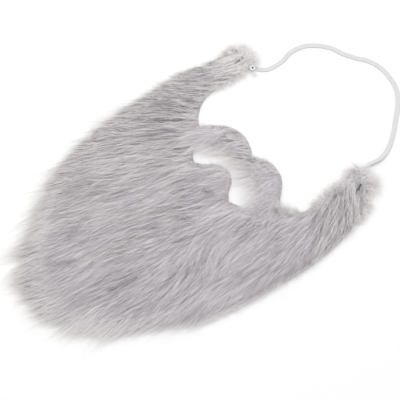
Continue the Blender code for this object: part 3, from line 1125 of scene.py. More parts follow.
        turn = chance_a.centred(given["Stray Turn"]) + tuft_a.centred(given["Tuft Turn"])
        turn = (turn + lock_a.centred(given["Lock Turn"])) * (self.number("ruffle") * 3.0 + 1.0)
        bend = turn + luck_c.centred(given["Stray Turn"])
        leaving = writer.turned(self.named("comb", "FLOAT_VECTOR"), turn)
        arriving = writer.turned(self.named("comb_ahead", "FLOAT_VECTOR"), bend)

        wanted = self.number("length") * (chance_b * 0.6 + 0.7) * (lock_b * 0.3 + 0.85)
        thinning = writer.math("LOGARITHM", luck_a.at_least(0.01), math.e)
        tail = thinning * self.number("fade") * (luck_c**4.0 * 1.6 + 0.75)
        length = wanted.at_most(self.number("reach") * (chance_c * 0.45 + 0.55) - tail)

        along_squared = along * along
        late = along_squared * 0.5
        run = writer.vector("ADD", writer.scaled(leaving, along - late), writer.scaled(arriving, late))
        aside = writer.vector("CROSS_PRODUCT", leaving, (0.0, 0.0, 1.0))
        tuft_offset = writer.vector("DOT_PRODUCT", writer.vector("SUBTRACT", tuft_middle, root), aside)
        lock_offset = writer.vector("DOT_PRODUCT", writer.vector("SUBTRACT", lock_middle, root), aside)
        gathered = tuft_offset * (given["Tuft Pull"] * along)
        gathered = gathered + lock_offset * (given["Lock Pull"] * along_squared)
        swing = writer.math("SINE", (along * 0.9 + luck_b) * (2 * math.pi))
        gathered = gathered + swing * given["Wobble"] * along

        layer_height = luck_b**0.7 * layer.hair_layers + layer.low_layer
        layer_height = tuft_b * layer.tuft_layers + layer_height + lock_c.centred(0.03)
        pile = writer.blended(self.number("pile"), self.number("pile_ahead"), along)
        ground = writer.blended(self.number("ground"), self.number("ground_ahead"), along)
        rise = 1.0 - (1.0 - along) ** 2.6
        droop = 1.0 - along**3.0 * 0.30
        height = pile * layer_height * rise * droop + ground

        taper = 1.0 - along**2.2 * 0.86
        width = given["Width"] * (luck_a * 0.5 + 0.72) * taper * across
        tuft_width = writer.split(given["Tuft Size"])[0]
        roll = tuft_offset * -1.6 / tuft_width * given["Roll"] + luck_c.centred(given["Roll"])
        sideways = gathered + width * writer.math("COSINE", roll)
        spot = writer.vector("ADD", root, writer.scaled(run, length))
        spot_x, spot_y, _ = writer.split(writer.vector("ADD", spot, writer.scaled(aside, sideways)))
        spot_x = spot_x.at_most(FURTHEST_ASIDE).at_least(-FURTHEST_ASIDE)
        curl = ((spot_y - CURL_START) / CURL_RUN).at_least(0.0) ** 2.0 * CURL_RISE
        level = (height + width * writer.math("SINE", roll) + curl).at_least(0.15 * MM)
        place = writer.join(spot_x, spot_y, level)
        hair = writer.add("GeometryNodeSetPosition", None, Geometry=hair, Position=place).outputs[0]

        spread = given["Tone Spread"]
        tone = self.number("tone") + tuft_c.centred(spread) + chance_c.centred(spread)
        tone = tone + lock_b.centred(spread * 0.12)
        # Painted light and shade: hairs on the key light's side of a tuft are painted lighter, and those on the
        # far side darker.
        tone = tone - tuft_offset / tuft_width * given["Painted Side Shade"]
        # Painted shade: a share of the tufts is painted dark, standing in for the shade in the gaps between
        # tufts.
        in_parting_shade_tuft = writer.math("LESS_THAN", tuft_c, given["Parting Shade Share"])
        # Painted shade: hairs that lie lower in the pile are painted darker, standing in for the shade deep in
        # the fur.
        sunk = (0.72 - layer_height).at_least(0.0)
        shading = in_parting_shade_tuft * given["Parting Shade Depth"] + sunk * given["Painted Sunk Shade"]
        # The painted shades fade out where little other hair covers a hair, at the edges and past them.
        covered = (self.number("past_edge") * -0.7 + 1.0) * (self.number("cover") * 0.85 + 0.15)
        tone = (tone - shading * covered).at_least(0.0).at_most(0.999)
        column = writer.math("FLOOR", tone * float(TONE_COLUMNS)) + (across * 0.6 + 0.5)
        lengthwise = along * (self.number("past_edge") * 0.66 + 0.30) + 0.02
        uv = writer.join(column / float(TONE_COLUMNS), lengthwise)
        hair = self.stored(hair, STRAND_UV, uv, "FLOAT2", "CORNER")
        wildcard = {"pattern_mode": "WILDCARD"}
        hair = writer.add("GeometryNodeRemoveAttribute", wildcard, Geometry=hair, Name="pelt_*").outputs[0]
        hair = writer.add("GeometryNodeSetShadeSmooth", None, Geometry=hair).outputs[0]
        material = given["Hair Material"]
        hair = writer.add("GeometryNodeSetMaterial", None, Geometry=hair, Material=material).outputs[0]
        writer.add("NodeGroupOutput", None, Hair=hair)


def shade_group(name: str, inputs: dict[str, tuple[str, object]], outputs: Iterable[str]) -> NodeWriter:
    """Starts a shader node group.

    Args:
        name: The group's name.
        inputs: Each input's socket type and value.
        outputs: The names of its outputs, all of them numbers.

    Returns:
        A writer for the group's tree.
    """
    tree = bpy.data.node_groups.new(name, "ShaderNodeTree")
    for title, (kind, value) in inputs.items():
        socket = tree.interface.new_socket(title, in_out="INPUT", socket_type=kind)
        if value is not None:
            socket.default_value = value
    for title in outputs:
        tree.interface.new_socket(title, in_out="OUTPUT", socket_type="NodeSocketFloat")
    return NodeWriter(tree)


@cache
def mottle_group() -> bpy.types.NodeTree:
    """Uneven tone at two scales, for dye, dust and handling.

    Returns:
        The group, whose output Shade runs round 1 and Height round 0.5.
    """
    inputs = {
        "Place": ("NodeSocketVector", None),
        "Patch Size": ("NodeSocketFloat", 20 * MM),
        "Amount": ("NodeSocketFloat", 0.1),
    }
    writer = shade_group("mottle", inputs, ("Shade", "Height"))
    given = writer.given()
    scale = writer.math("DIVIDE", 1.0, given["Patch Size"])
    coarse = writer.add("ShaderNodeTexNoise", None, Vector=given["Place"], Scale=scale, Detail=3.0)
    fine = writer.add("ShaderNodeTexNoise", None, Vector=given["Place"], Scale=scale * 9.0, Detail=2.0)
    mixed = writer.blended(coarse.outputs["Fac"], fine.outputs["Fac"], 0.35)
    shade = (mixed - 0.5) * (given["Amount"] * 2.0) + 1.0
    writer.add("NodeGroupOutput", None, Shade=shade, Height=fine.outputs["Fac"])
    return writer.tree


@cache
def knit_group() -> bpy.types.NodeTree:
    """Columns of knitted stitches, as a height and a painted shade that darkens the stitches' hollows.

    Returns:
        The group. Its Place input is in metres, with the columns along Y.
    """
    inputs = {
        "Place": ("NodeSocketVector", None),
        "Column Width": ("NodeSocketFloat", 1.1 * MM),
        "Stitch Height": ("NodeSocketFloat", 0.8 * MM),
        "Depth": ("NodeSocketFloat", 0.25),
    }
    writer = shade_group("knit", inputs, ("Height", "Shade"))
    given = writer.given()
    place_x, place_y, _ = writer.split(given["Place"])
    leg = writer.math("PINGPONG", place_x / given["Column Width"], 0.5)
    rib = writer.math("SINE", leg * (2 * math.pi))
    slanted = place_y / given["Stitch Height"] + leg * 1.4
    stitch = writer.math("SINE", slanted * (2 * math.pi)) * 0.5 + 0.5
    height = rib * (stitch * 0.55 + 0.45)
    # Painted shade: the low parts of the stitches are darkened by Depth.
    writer.add("NodeGroupOutput", None, Height=height, Shade=1.0 - (1.0 - height) * given["Depth"])
    return writer.tree


class Surface(NodeWriter):
    """A new material with a Principled shader, whose even values are set on the shader's own sockets."""

    def __init__(self, name: str, roughness: float, specular: float = 0.5, metallic: float = 0.0) -> None:
        """Makes the material.

        Args:
            name: The material's name.
            roughness: The shader's roughness.
            specular: The shader's specular level.
            metallic: How metallic it is.
        """
        self.material = bpy.data.materials.new(name)
        self.material.use_nodes = True
        super().__init__(self.material.node_tree)
        self.shader = self.tree.nodes["Principled BSDF"].inputs
        self.shader["Roughness"].default_value = roughness
        self.shader["Specular IOR Level"].default_value = specular
        self.shader["Metallic"].default_value = metallic

    def place(self) -> Socket:
        """The place on the piece, in metres."""
        return self.add("ShaderNodeTexCoord").outputs["Object"]

    def uv(self, name: str) -> Socket:
        """The place in one of the piece's own UV maps."""
        return self.add("ShaderNodeUVMap", {"uv_map": name}).outputs[0]

    def group(self, tree: bpy.types.NodeTree, **inputs: object) -> bpy.types.NodeOutputs:
        """Places a shader group in the material and gives its outputs."""
        return self.add("ShaderNodeGroup", {"node_tree": tree}, **inputs).outputs

    def mixed(self, first: object, second: object, share: object, blend: str = "MIX") -> Socket:
        """Mixes two colours.

        Args:
            first: The colour at a share of 0.
            second: The colour at a share of 1.
            share: How much of the second is taken.
            blend: The way they mix.

        Returns:
            The mixed colour.
        """
        node = self.add("ShaderNodeMix", {"data_type": "RGBA", "blend_type": blend})
        for key, value in (("Factor", share), (6, first), (7, second)):
            self.feed(node.inputs[key], value)
        return node.outputs[2]

    def tinted(self, colour: object, shade: object) -> Socket:
        """A colour times a shade."""
        grey = self.add("ShaderNodeCombineColor", None, Red=shade, Green=shade, Blue=shade).outputs[0]
        return self.mixed(colour, grey, 1.0, "MULTIPLY")

    def finish(
        self, colour: object, height: Socket | None = None, strength: float = 0, depth: float = 0
    ) -> None:
        """Gives the shader its colour, and a bump where there is one.

        Args:
            colour: The base colour.
            height: The height that the bump follows.
            strength: The bump's strength.
            depth: The bump's depth in metres.
        """
        self.feed(self.shader["Base Color"], colour)
        if height is not None:
            bump = self.add("ShaderNodeBump", None, Strength=strength, Distance=depth, Height=height)
            self.feed(self.shader["Normal"], bump.outputs[0])


@dataclass(frozen=True)
class HairFinish:
    """Acrylic pile: each hair has one tone of a lilac-grey range, with painted shade at its root and painted
    light at a free tip, as if light shone through its thin end.

    The finish reads the first UV coordinate as the tone and the second as the share of the length. Hairs that end
    over the pelt stop at a third of that share, and only those that end past its edge get the painted tip light.
    """

    name: str = "grey_faux_fur"
    dark: Colour = (0.36, 0.335, 0.36)
    middle: Colour = (0.752, 0.713, 0.745)
    light: Colour = (0.86, 0.83, 0.85)
    white: Colour = (0.95, 0.93, 0.908)
    root_shade: float = 0.95
    painted_tip_light: float = 1.75
    roughness: float = 0.62

    def build(self) -> bpy.types.Material:
        """Makes the material, which reads a hair's tone and length share from its own UV map.

        Returns:
            The material.
        """
        surface = Surface(self.name, self.roughness, specular=0.25)
        tone, along, _ = surface.split(surface.uv(STRAND_UV))
        ramp = surface.add("ShaderNodeValToRGB", None, Fac=tone)
        stops = ((0.0, self.dark), (0.45, self.middle), (0.78, self.light), (1.0, self.white))
        elements = ramp.color_ramp.elements
        while len(elements) < len(stops):
            elements.new(0.5)
        for element, (position, colour) in zip(elements, stops):
            element.position = position
            element.color = (*colour, 1)
        # Painted shade at the root, and painted light towards the tip of a hair that ends past the edge.
        clear_of_root_shade = (along * 8.0).at_most(1.0)
        shaded = surface.tinted(ramp.outputs[0], surface.blended(self.root_shade, 1.0, clear_of_root_shade))
        fade = ((along - 0.33).at_least(0.0) * self.painted_tip_light).at_most(1.0)
        surface.finish(surface.mixed(shaded, (*self.white, 1), fade))
        return surface.material


@dataclass(frozen=True)
class PileFinish:
    """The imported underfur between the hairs, streaked along the combing."""

    name: str = "packed_pile"
    colour: Colour = (0.60, 0.57, 0.595)
    roughness: float = 0.9

    def build(self) -> bpy.types.Material:
        """Makes the material.

        Returns:
            The material.
        """
        surface = Surface(self.name, self.roughness, specular=0.1)
        stretched = surface.vector("MULTIPLY", surface.place(), (1.0, 0.14, 1.0))
        mottle = surface.group(mottle_group(), Place=stretched, Patch_Size=1.6 * MM, Amount=0.5)
        surface.finish(surface.tinted((*self.colour, 1), mottle["Shade"]), mottle["Height"], 0.6, 0.4 * MM)
        return surface.material


@dataclass(frozen=True)
class StitchedFinish:
    """Cloth of fine columns of stitches."""

    name: str
    colour: Colour
    column_width: float
    stitch_height: float
    stitch_hollow_shade: float
    patch_size: float
    patch_amount: float
    bump_strength: float
    bump_depth: float
    roughness: float
    specular: float
    uv_map: str | None = None

    def build(self) -> bpy.types.Material:
        """Makes the material, which follows the piece's UV map in metres where it has one.

        Returns:
            The material.
        """
        surface = Surface(self.name, self.roughness, self.specular)
        place = surface.uv(self.uv_map) if self.uv_map else surface.place()
        knit = surface.group(
            knit_group(),
            Place=place,
            Column_Width=self.column_width,
            Stitch_Height=self.stitch_height,
            Depth=self.stitch_hollow_shade,
        )
        patches = {"Patch_Size": self.patch_size, "Amount": self.patch_amount}
        mottle = surface.group(mottle_group(), Place=place, **patches)
        shade = surface.math("MULTIPLY", knit["Shade"], mottle["Shade"])
        colour = surface.tinted((*self.colour, 1), shade)
        surface.finish(colour, knit["Height"], self.bump_strength, self.bump_depth)
        return surface.material


KNITTED_BACKING = StitchedFinish(
    name="knitted_backing",
    colour=(0.76, 0.75, 0.755),
    column_width=1.15 * MM,
    stitch_height=0.85 * MM,
    stitch_hollow_shade=0.42,
    patch_size=26 * MM,
    patch_amount=0.12,
    bump_strength=0.9,
    bump_depth=0.3 * MM,
    roughness=0.88,
    specular=0.2,
)
WHITE_ELASTIC = StitchedFinish(
    name="white_elastic",
    colour=(0.74, 0.75, 0.745),
    column_width=0.66 * MM,
    stitch_height=0.9 * MM,
    stitch_hollow_shade=0.10,
    patch_size=9 * MM,
    patch_amount=0.05,
    bump_strength=0.5,
    bump_depth=0.1 * MM,
    roughness=0.6,
    specular=0.3,
    uv_map=WEAVE_UV,
)


@dataclass(frozen=True)
class MetalFinish:
    """Dark plated metal, dulled by handling."""

    name: str = "dark_metal"
    colour: Colour = (0.055, 0.054, 0.060)
    roughness: float = 0.42

    def build(self) -> bpy.types.Material:
        """Makes the material.

        Returns:
            The material.
        """
        surface = Surface(self.name, self.roughness, metallic=0.6)
        mottle = surface.group(mottle_group(), Place=surface.place(), Patch_Size=1.5 * MM, Amount=0.45)
        rough = surface.math("MULTIPLY", mottle["Shade"], self.roughness)
        surface.feed(surface.shader["Roughness"], rough)
        surface.finish(surface.tinted((*self.colour, 1), mottle["Shade"]), mottle["Height"], 0.3, 0.05 * MM)
        return surface.material


def new_piece(name: str, mesh: bpy.types.Mesh, material: bpy.types.Material) -> bpy.types.Object:
    """Puts a finished mesh in the scene, riding on the beard's body.

    Args:
        name: The piece's name.
        mesh: Its mesh.
        material: Its material, where the mesh has none yet.

    Returns:
        The piece.
    """
    piece = bpy.data.objects.new(name, mesh)
    bpy.context.scene.collection.objects.link(piece)
    if not mesh.materials:
        mesh.materials.append(material)
    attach(piece, BODY)
    log.info("%s: %d triangles", name, sum(len(polygon.vertices) - 2 for polygon in mesh.polygons))
    return piece


def closed_piece(
    name: str, form: bmesh.types.BMesh, material: bpy.types.Material
) -> bpy.types.Object:
    """Makes a piece of a closed form, with its faces pointing outwards.

    Args:
        name: The piece's name.
        form: The form, which is used up.
        material: The piece's material.

    Returns:
        The piece.
    """
    bmesh.ops.recalc_face_normals(form, faces=form.faces)
    mesh = bpy.data.meshes.new(name)
    form.to_mesh(mesh)
    form.free()
    return new_piece(name, mesh, material)


def evaluated_mesh(source: bpy.types.Object) -> bpy.types.Mesh:
    """Carries out the modifiers or curve settings of an object.

    Args:
        source: The object, which is removed.

    Returns:
        The mesh.
    """
    bpy.context.view_layer.update()
    graph = bpy.context.evaluated_depsgraph_get()
    mesh = bpy.data.meshes.new_from_object(source.evaluated_get(graph), depsgraph=graph)
    bpy.data.objects.remove(source, do_unlink=True)
    return mesh


def grid_mesh_data(places: Array, wanted: Array) -> tuple[Array, Array]:
    """Picks cells of a grid.

    Args:
        places: The grid's points, row by row.
        wanted: Whether each cell is taken, row by row.

    Returns:
        The points that are used, and the four points of each cell among them.
    """
    rows, columns = places.shape[:2]
    corner = np.arange(rows * columns).reshape(rows, columns)
    around = (corner[:-1, :-1], corner[:-1, 1:], corner[1:, 1:], corner[1:, :-1])
    quads = np.stack(around, axis=-1).reshape(-1, 4)[wanted]
    used, quads = np.unique(quads, return_inverse=True)
    return places.reshape(-1, 2)[used], quads.reshape(-1, 4)


@dataclass
class Hair:
    """One layer of hair on the pelt. Its kinds differ in where it grows, how long it is and how it lies."""

    pelt: PeltMap
    material: bpy.types.Material
    strands: Strands
    # Where these are given, they hold everywhere.
    length: float | None = None
    reach: float | None = None
    tone: float | None = None

    def covers(self, points: Array) -> Array:
        """Whether this layer grows at each place at all."""
        return np.ones(len(points), bool)

    def density_at(self, points: Array) -> Array:
        """The share of the full number of hairs at each place."""
        return self.pelt.density_at(points)

    def length_at(self, points: Array) -> Array:
        """The usual length of the hair at each place."""
        return self.pelt.length_at(points) if self.length is None else np.full(len(points), self.length)

    def direction_at(self, points: Array) -> Array:
        """The unit direction in which the hair lies at each place."""
        return self.pelt.direction_at(points)

    def tone_at(self, points: Array) -> Array:
        """The middle tone of the hair at each place, from 0, dark, to 1, white."""
        return self.pelt.tone_at(points) if self.tone is None else np.full(len(points), self.tone)

    def reach_at(self, points: Array) -> Array:
        """How far the thick of the hair from each place may lie."""
        return self.pelt.walk(points) if self.reach is None else np.full(len(points), self.reach)

    def scalp(self, name: str, chosen: Callable[[Array], Array]) -> bpy.types.Object:
        """Makes the mesh that hair grows on.

        Args:
            name: The piece's name.
            chosen: Tells which of some places the piece covers.

        Returns:
            A flat mesh with the pelt's values as attributes of its points.
        """
        pelt = self.pelt
        middles = (pelt.places[:-1, :-1] + pelt.places[1:, 1:]).reshape(-1, 2) / 2
        wanted = (pelt.depth_at(middles) > -pelt.cell) & chosen(middles) & self.covers(middles)
        points, quads = grid_mesh_data(pelt.places, wanted)
        mesh = bpy.data.meshes.new(name)
        mesh.from_pydata(np.column_stack((points, np.zeros(len(points)))).tolist(), [], quads.tolist())
        self.write_fields(mesh, points)
        scalp = bpy.data.objects.new(name, mesh)
        bpy.context.scene.collection.objects.link(scalp)
        return scalp

    def write_fields(self, mesh: bpy.types.Mesh, points: Array) -> None:
        """Stores the layer's values on the points of a scalp.

        Args:
            mesh: The scalp's mesh.
            points: Its points in the row frame, one row each.
        """
        pelt = self.pelt
        reach = self.reach_at(points)
        ruffle = pelt.patches_at(points, RUFFLED)
        length = self.length_at(points)
        fade = pelt.fringe_at(points)[1]
        comb = self.direction_at(points)
        run = np.minimum(reach, length)[:, None]
        comb_ahead = self.direction_at(points + comb * run * 0.55)
        tip = points + (comb + comb_ahead) * (run + fade[:, None]) / 2
        numbers = {
            "density": self.density_at(points),
            "depth": pelt.depth_at(points),
            "reach": reach,
            "length": length * (1 - 0.4 * ruffle),
            "fade": fade,
            "pile": pelt.pile_at(points),
            "pile_ahead": pelt.pile_at(tip),
            "ground": pelt.floor_at(points),
            "ground_ahead": pelt.floor_at(tip),
            "tone": self.tone_at(points),
            "past_edge": 1 - smooth_share(pelt.depth_at(tip), -1 * MM, 7 * MM),
            "ruffle": ruffle,
            "cover": pelt.cover_at(points),
        }
        for name, values in numbers.items():
            mesh.attributes.new(f"pelt_{name}", "FLOAT", "POINT").data.foreach_set("value", values)
        for name, values in (("comb", comb), ("comb_ahead", comb_ahead)):
            flat = np.column_stack((values, np.zeros(len(values)))).ravel()
            mesh.attributes.new(f"pelt_{name}", "FLOAT_VECTOR", "POINT").data.foreach_set("vector", flat)

    def grow(
        self, name: str, chosen: Callable[[Array], Array], tree: StrandTree, seed: int
    ) -> bpy.types.Object:
        """Grows one piece of this layer.

        Args:
            name: The piece's name.
            chosen: Tells which of some places the piece covers.
            tree: The node tree that makes the hairs.
            seed: The number that fixes their chances.

        Returns:
            The piece.
        """
        scalp = self.scalp(name, chosen)
        modifier = scalp.modifiers.new("hair", "NODES")
        modifier.node_group = tree.tree
        modifier[tree.identifiers["Seed"]] = seed
        modifier[tree.identifiers["Hair Material"]] = self.material
        return new_piece(name, evaluated_mesh(scalp), self.material)

    def build(self, name: str) -> bpy.types.Object:
        """Grows the whole layer as one piece."""
        return self.grow(name, self.covers, StrandTree(self.strands), self.strands.seed)


@dataclass
class CombedCoat(Hair):
    """The main coat, long below and short round the mouth, one piece for each region."""

    strands: Strands = LONG_COAT
    short_strands: Strands = SHORT_COAT

    def build_regions(self) -> list[bpy.types.Object]:
        """Grows the coat.

        Returns:
            One piece for each region.
        """
        trees = {True: StrandTree(self.short_strands), False: StrandTree(self.strands)}
        pieces = []
        for index, region in enumerate(Region):

            def chosen(points: Array, held: Region = region) -> Array:
                return held.holds(self.pelt.pattern_places(points))

            tree = trees[region.short]
            pieces.append(self.grow(region.value, chosen, tree, tree.layer.seed + 10 * index))
        return pieces


@dataclass
class RimHair(Hair):
    """Short stray hair along every cut edge, and longer fluff where the edge is fluffy or a sideburn ends."""

    strands: Strands = RIM
    rim_width: float = 8 * MM
    rim_length: float = 9 * MM
    fluff_length: float = 16 * MM

    def fluff_at(self, points: Array) -> Array:
        """How fluffy the edge is near each place, from 0 to 1."""
        fluff = np.maximum(self.pelt.pale_at(points), self.pelt.patches_at(points, FLUFFY))
        return fluff * (1 - self.pelt.patches_at(points, BARE))

    def covers(self, points: Array) -> Array:
        """Only the strip along the edges."""
        return self.pelt.depth_at(points) < self.rim_width

    def density_at(self, points: Array) -> Array:
        """Thickest at the edge, and most of all in the fluff.

        Args:
            points: Places in the row frame, one row each.

        Returns:
            The share of the full number at each place.
        """
        share = 1 - smooth_share(self.pelt.depth_at(points), 0, self.rim_width)
        share = share * (1 - 0.7 * self.pelt.patches_at(points, BARE))
        return np.where(self.pelt.blocked(points), 0, share * (1 + 2.6 * self.fluff_at(points)))

    def length_at(self, points: Array) -> Array:
        """Short, and longer in the fluff."""
        return self.rim_length + self.fluff_at(points) * (self.fluff_length - self.rim_length)

    def direction_at(self, points: Array) -> Array:
        """Between the combing and the way out over the edge, and straighter out in the fluff.

        Args:
            points: Places in the row frame, one row each.

        Returns:
            Unit vectors, one row each.
        """
        at_end = smooth_share(self.pelt.pattern_places(points)[:, 1], 151, 157)
        out_share = (0.5 + 0.5 * self.fluff_at(points) + 0.9 * at_end)[:, None]
        leaning = self.pelt.direction_at(points) * 0.8 + self.pelt.outward_at(points) * out_share
        return leaning / np.linalg.norm(leaning, axis=1)[:, None]

    def reach_at(self, points: Array) -> Array:
        """A little past the edge, and further in the fluff.

        Args:
            points: Places in the row frame, one row each.

        Returns:
            The reach at each place, in metres.
        """
        inside = np.maximum(self.pelt.depth_at(points), 0)
        reach = inside + 1.5 * MM + 2 * MM * self.pelt.falling_at(points) + 8 * MM * self.fluff_at(points)
        return reach * (1 - 0.7 * self.pelt.patches_at(points, BARE))

    def tone_at(self, points: Array) -> Array:
        """A little paler than the coat."""
        tone = self.pelt.tone_at(points) + 0.04 + 0.16 * self.pelt.patches_at(points, FLUFFY)
        return np.minimum(tone, 0.80)


@dataclass
class MouthHair(Hair):
    """The thin pale hair of the moustache that hangs down over the mouth opening, long enough to cross it."""

    strands: Strands = MOUTH_HAIR
    length: float | None = 24 * MM
    reach: float | None = 28.8 * MM
    tone: float | None = 0.80
    strip: float = 8 * MM

    def covers(self, points: Array) -> Array:
        """The lower strip of the moustache.

        Args:
            points: Places in the row frame, one row each.

        Returns:
            One truth value for each place.
        """
        x, y = self.pelt.pattern_places(points).T
        near_mouth = gap_to_loop(points, self.pelt.mouth_loop) < self.strip
        return near_mouth & (np.abs(x) < 42) & (y > 60 + 0.12 * (30 - np.abs(x)))

    def density_at(self, points: Array) -> Array:
        """Thickest at the edge of the opening."""
        return 1 - smooth_share(gap_to_loop(points, self.pelt.mouth_loop), 0, self.strip)


@dataclass
class StrayHair(Hair):
    """Single hairs that lie across the coat."""

    strands: Strands = STRAYS

    def tone_at(self, points: Array) -> Array:
        """Lighter than the coat under them."""
        return self.pelt.tone_at(points) + 0.16


@dataclass
class ShadeAndHighlightLines(Hair):
    """Broad hairs that lie on top of the coat along its combing: the dark ones are painted shade between the
    tufts and the light ones are painted highlights.
    """

    strands: Strands = SHADE_LINE_HAIRS

    def density_at(self, points: Array) -> Array:
        """Thicker where the painted lines are most, and none at the edges or the pale ends.

        Args:
            points: Places in the row frame, one row each.

        Returns:
            The share of the full number of hairs at each place.
        """
        thick = 1 + 4 * self.pelt.patches_at(points, MOST_PAINTED_LINES)
        long_share = (self.pelt.length_at(points) / self.pelt.hair_length) ** 2
        return thick * long_share * self.pelt.cover_at(points) * self.pelt.density_at(points)

    def length_at(self, points: Array) -> Array:
        """A little over half as long as the coat."""
        return np.minimum(self.pelt.length_at(points) * 0.6, 22 * MM)


@dataclass
class BarbCover(Hair):
    """Short pale hairs that lie across the ends of the barbs."""

    strands: Strands = BARB_HAIRS
    length: float | None = 8 * MM
    reach: float | None = 14 * MM
    heading: float = math.radians(-58)
    margin: float = 4

    def covers(self, points: Array) -> Array:
        """Only by the barbs' ends."""
        wider = tuple(replace(end, radius=end.radius + self.margin) for end in BARB_ENDS)
        return self.pelt.patches_at(points, wider) > 0

    def density_at(self, points: Array) -> Array:
        """Thickest in the middle of each patch."""
        return self.pelt.patches_at(points, BARB_ENDS)

    def direction_at(self, points: Array) -> Array:
        """Across the barbs."""
        return np.tile((math.sin(self.heading), -math.cos(self.heading)), (len(points), 1))


@dataclass
class SlitShadeHair(Hair):
    """Short near-black hairs along the partings of the coat, as painted shade of the partings."""

    strands: Strands = SLIT_SHADE_HAIRS
    length: float | None = 8 * MM
    tone: float | None = 0.05

    def covers(self, points: Array) -> Array:
        """Only the partings and a little round them."""
        return self.pelt.slits_at(points, 4) > 0

    def density_at(self, points: Array) -> Array:
        """Thickest in the middle of a parting."""
        return self.pelt.slits_at(points)

    def direction_at(self, points: Array) -> Array:
        """Along the nearest parting.

        Args:
            points: Places in the row frame, one row each.

        Returns:
            Unit vectors, one row each.
        """
        ways = np.array([np.diff(slit.ends(), axis=0)[0] for slit in SLITS])
        nearest = np.argmin([slit.gap_to(points) for slit in SLITS], axis=0)
        return (ways / np.linalg.norm(ways, axis=1)[:, None])[nearest]


@dataclass
class PackedPile:
    """The dense underfur, a low rounded body that fills the coat from below."""

    pelt: PeltMap
    fill: float = 0.16
    inset: float = 4 * MM
    finish: PileFinish = field(default_factory=PileFinish)

    def build(self) -> bpy.types.Object:
        """Makes the pile as one closed shell.

        Returns:
            The piece.
        """
        pelt = self.pelt
        middles = (pelt.places[:-1, :-1] + pelt.places[1:, 1:]).reshape(-1, 2) / 2
        thick = ~pelt.blocked(middles) & (pelt.pale_at(middles) < 0.6)
        wanted = (pelt.depth_at(middles) > self.inset) & thick
        points, quads = grid_mesh_data(pelt.places, wanted)
        sunk = pelt.cloth_top - 0.3 * MM
        rounded = smooth_share(pelt.depth_at(points), self.inset - pelt.cell, self.inset + 9 * MM)
        top = pelt.cloth_top + pelt.pile_at(points) * self.fill * rounded
        form = bmesh.new()
        lift = curl_of(points[:, 1])
        upper = [form.verts.new(place) for place in np.column_stack((points, top + lift))]
        lower = [form.verts.new(place) for place in np.column_stack((points, sunk + lift))]
        for quad in quads:
            form.faces.new([upper[index] for index in quad])
            form.faces.new([lower[index] for index in quad[::-1]])
        partner = {above: below for above, below in zip(upper, lower)}
        for edge in [edge for edge in form.edges if len(edge.link_faces) == 1 and edge.verts[0] in partner]:
            start, end = edge.verts
            form.faces.new((start, end, partner[end], partner[start]))
        return closed_piece("packed_pile", form, self.finish.build())


@dataclass
class BackingCloth:
    """The knitted cloth that the pile grows on, die-cut with its mouth opening."""

    pelt: PeltMap
    thickness: float = 1.1 * MM
    clearance: float = 0.15 * MM
    flat_size: tuple[float, float] = (235 * MM, 309 * MM)
    finish: StitchedFinish = KNITTED_BACKING

    def build(self) -> bpy.types.Object:
        """Cuts the cloth and curls the ends of its sideburns.

        Returns:
            The piece.
        """
        curve = bpy.data.curves.new("backing_cloth", "CURVE")
        curve.dimensions = "2D"
        curve.fill_mode = "BOTH"
        curve.extrude = self.thickness / 2
        for loop in (self.pelt.cloth_loop, self.pelt.mouth_loop):
            spline = curve.splines.new("POLY")
            spline.points.add(len(loop) - 1)
            spline.use_cyclic_u = True
            for point, (x, y) in zip(spline.points, loop):
                point.co = (x, y, 0, 1)
        outline = bpy.data.objects.new("cloth_outline", curve)
        bpy.context.scene.collection.objects.link(outline)
        form = bmesh.new()
        form.from_mesh(evaluated_mesh(outline))
        bmesh.ops.remove_doubles(form, verts=form.verts, dist=0.005 * MM)
        for vertex in form.verts:
            vertex.co.z += self.clearance + self.thickness / 2 + float(curl_of(vertex.co.y))
        piece = closed_piece("backing_cloth", form, self.finish.build())
        return piece


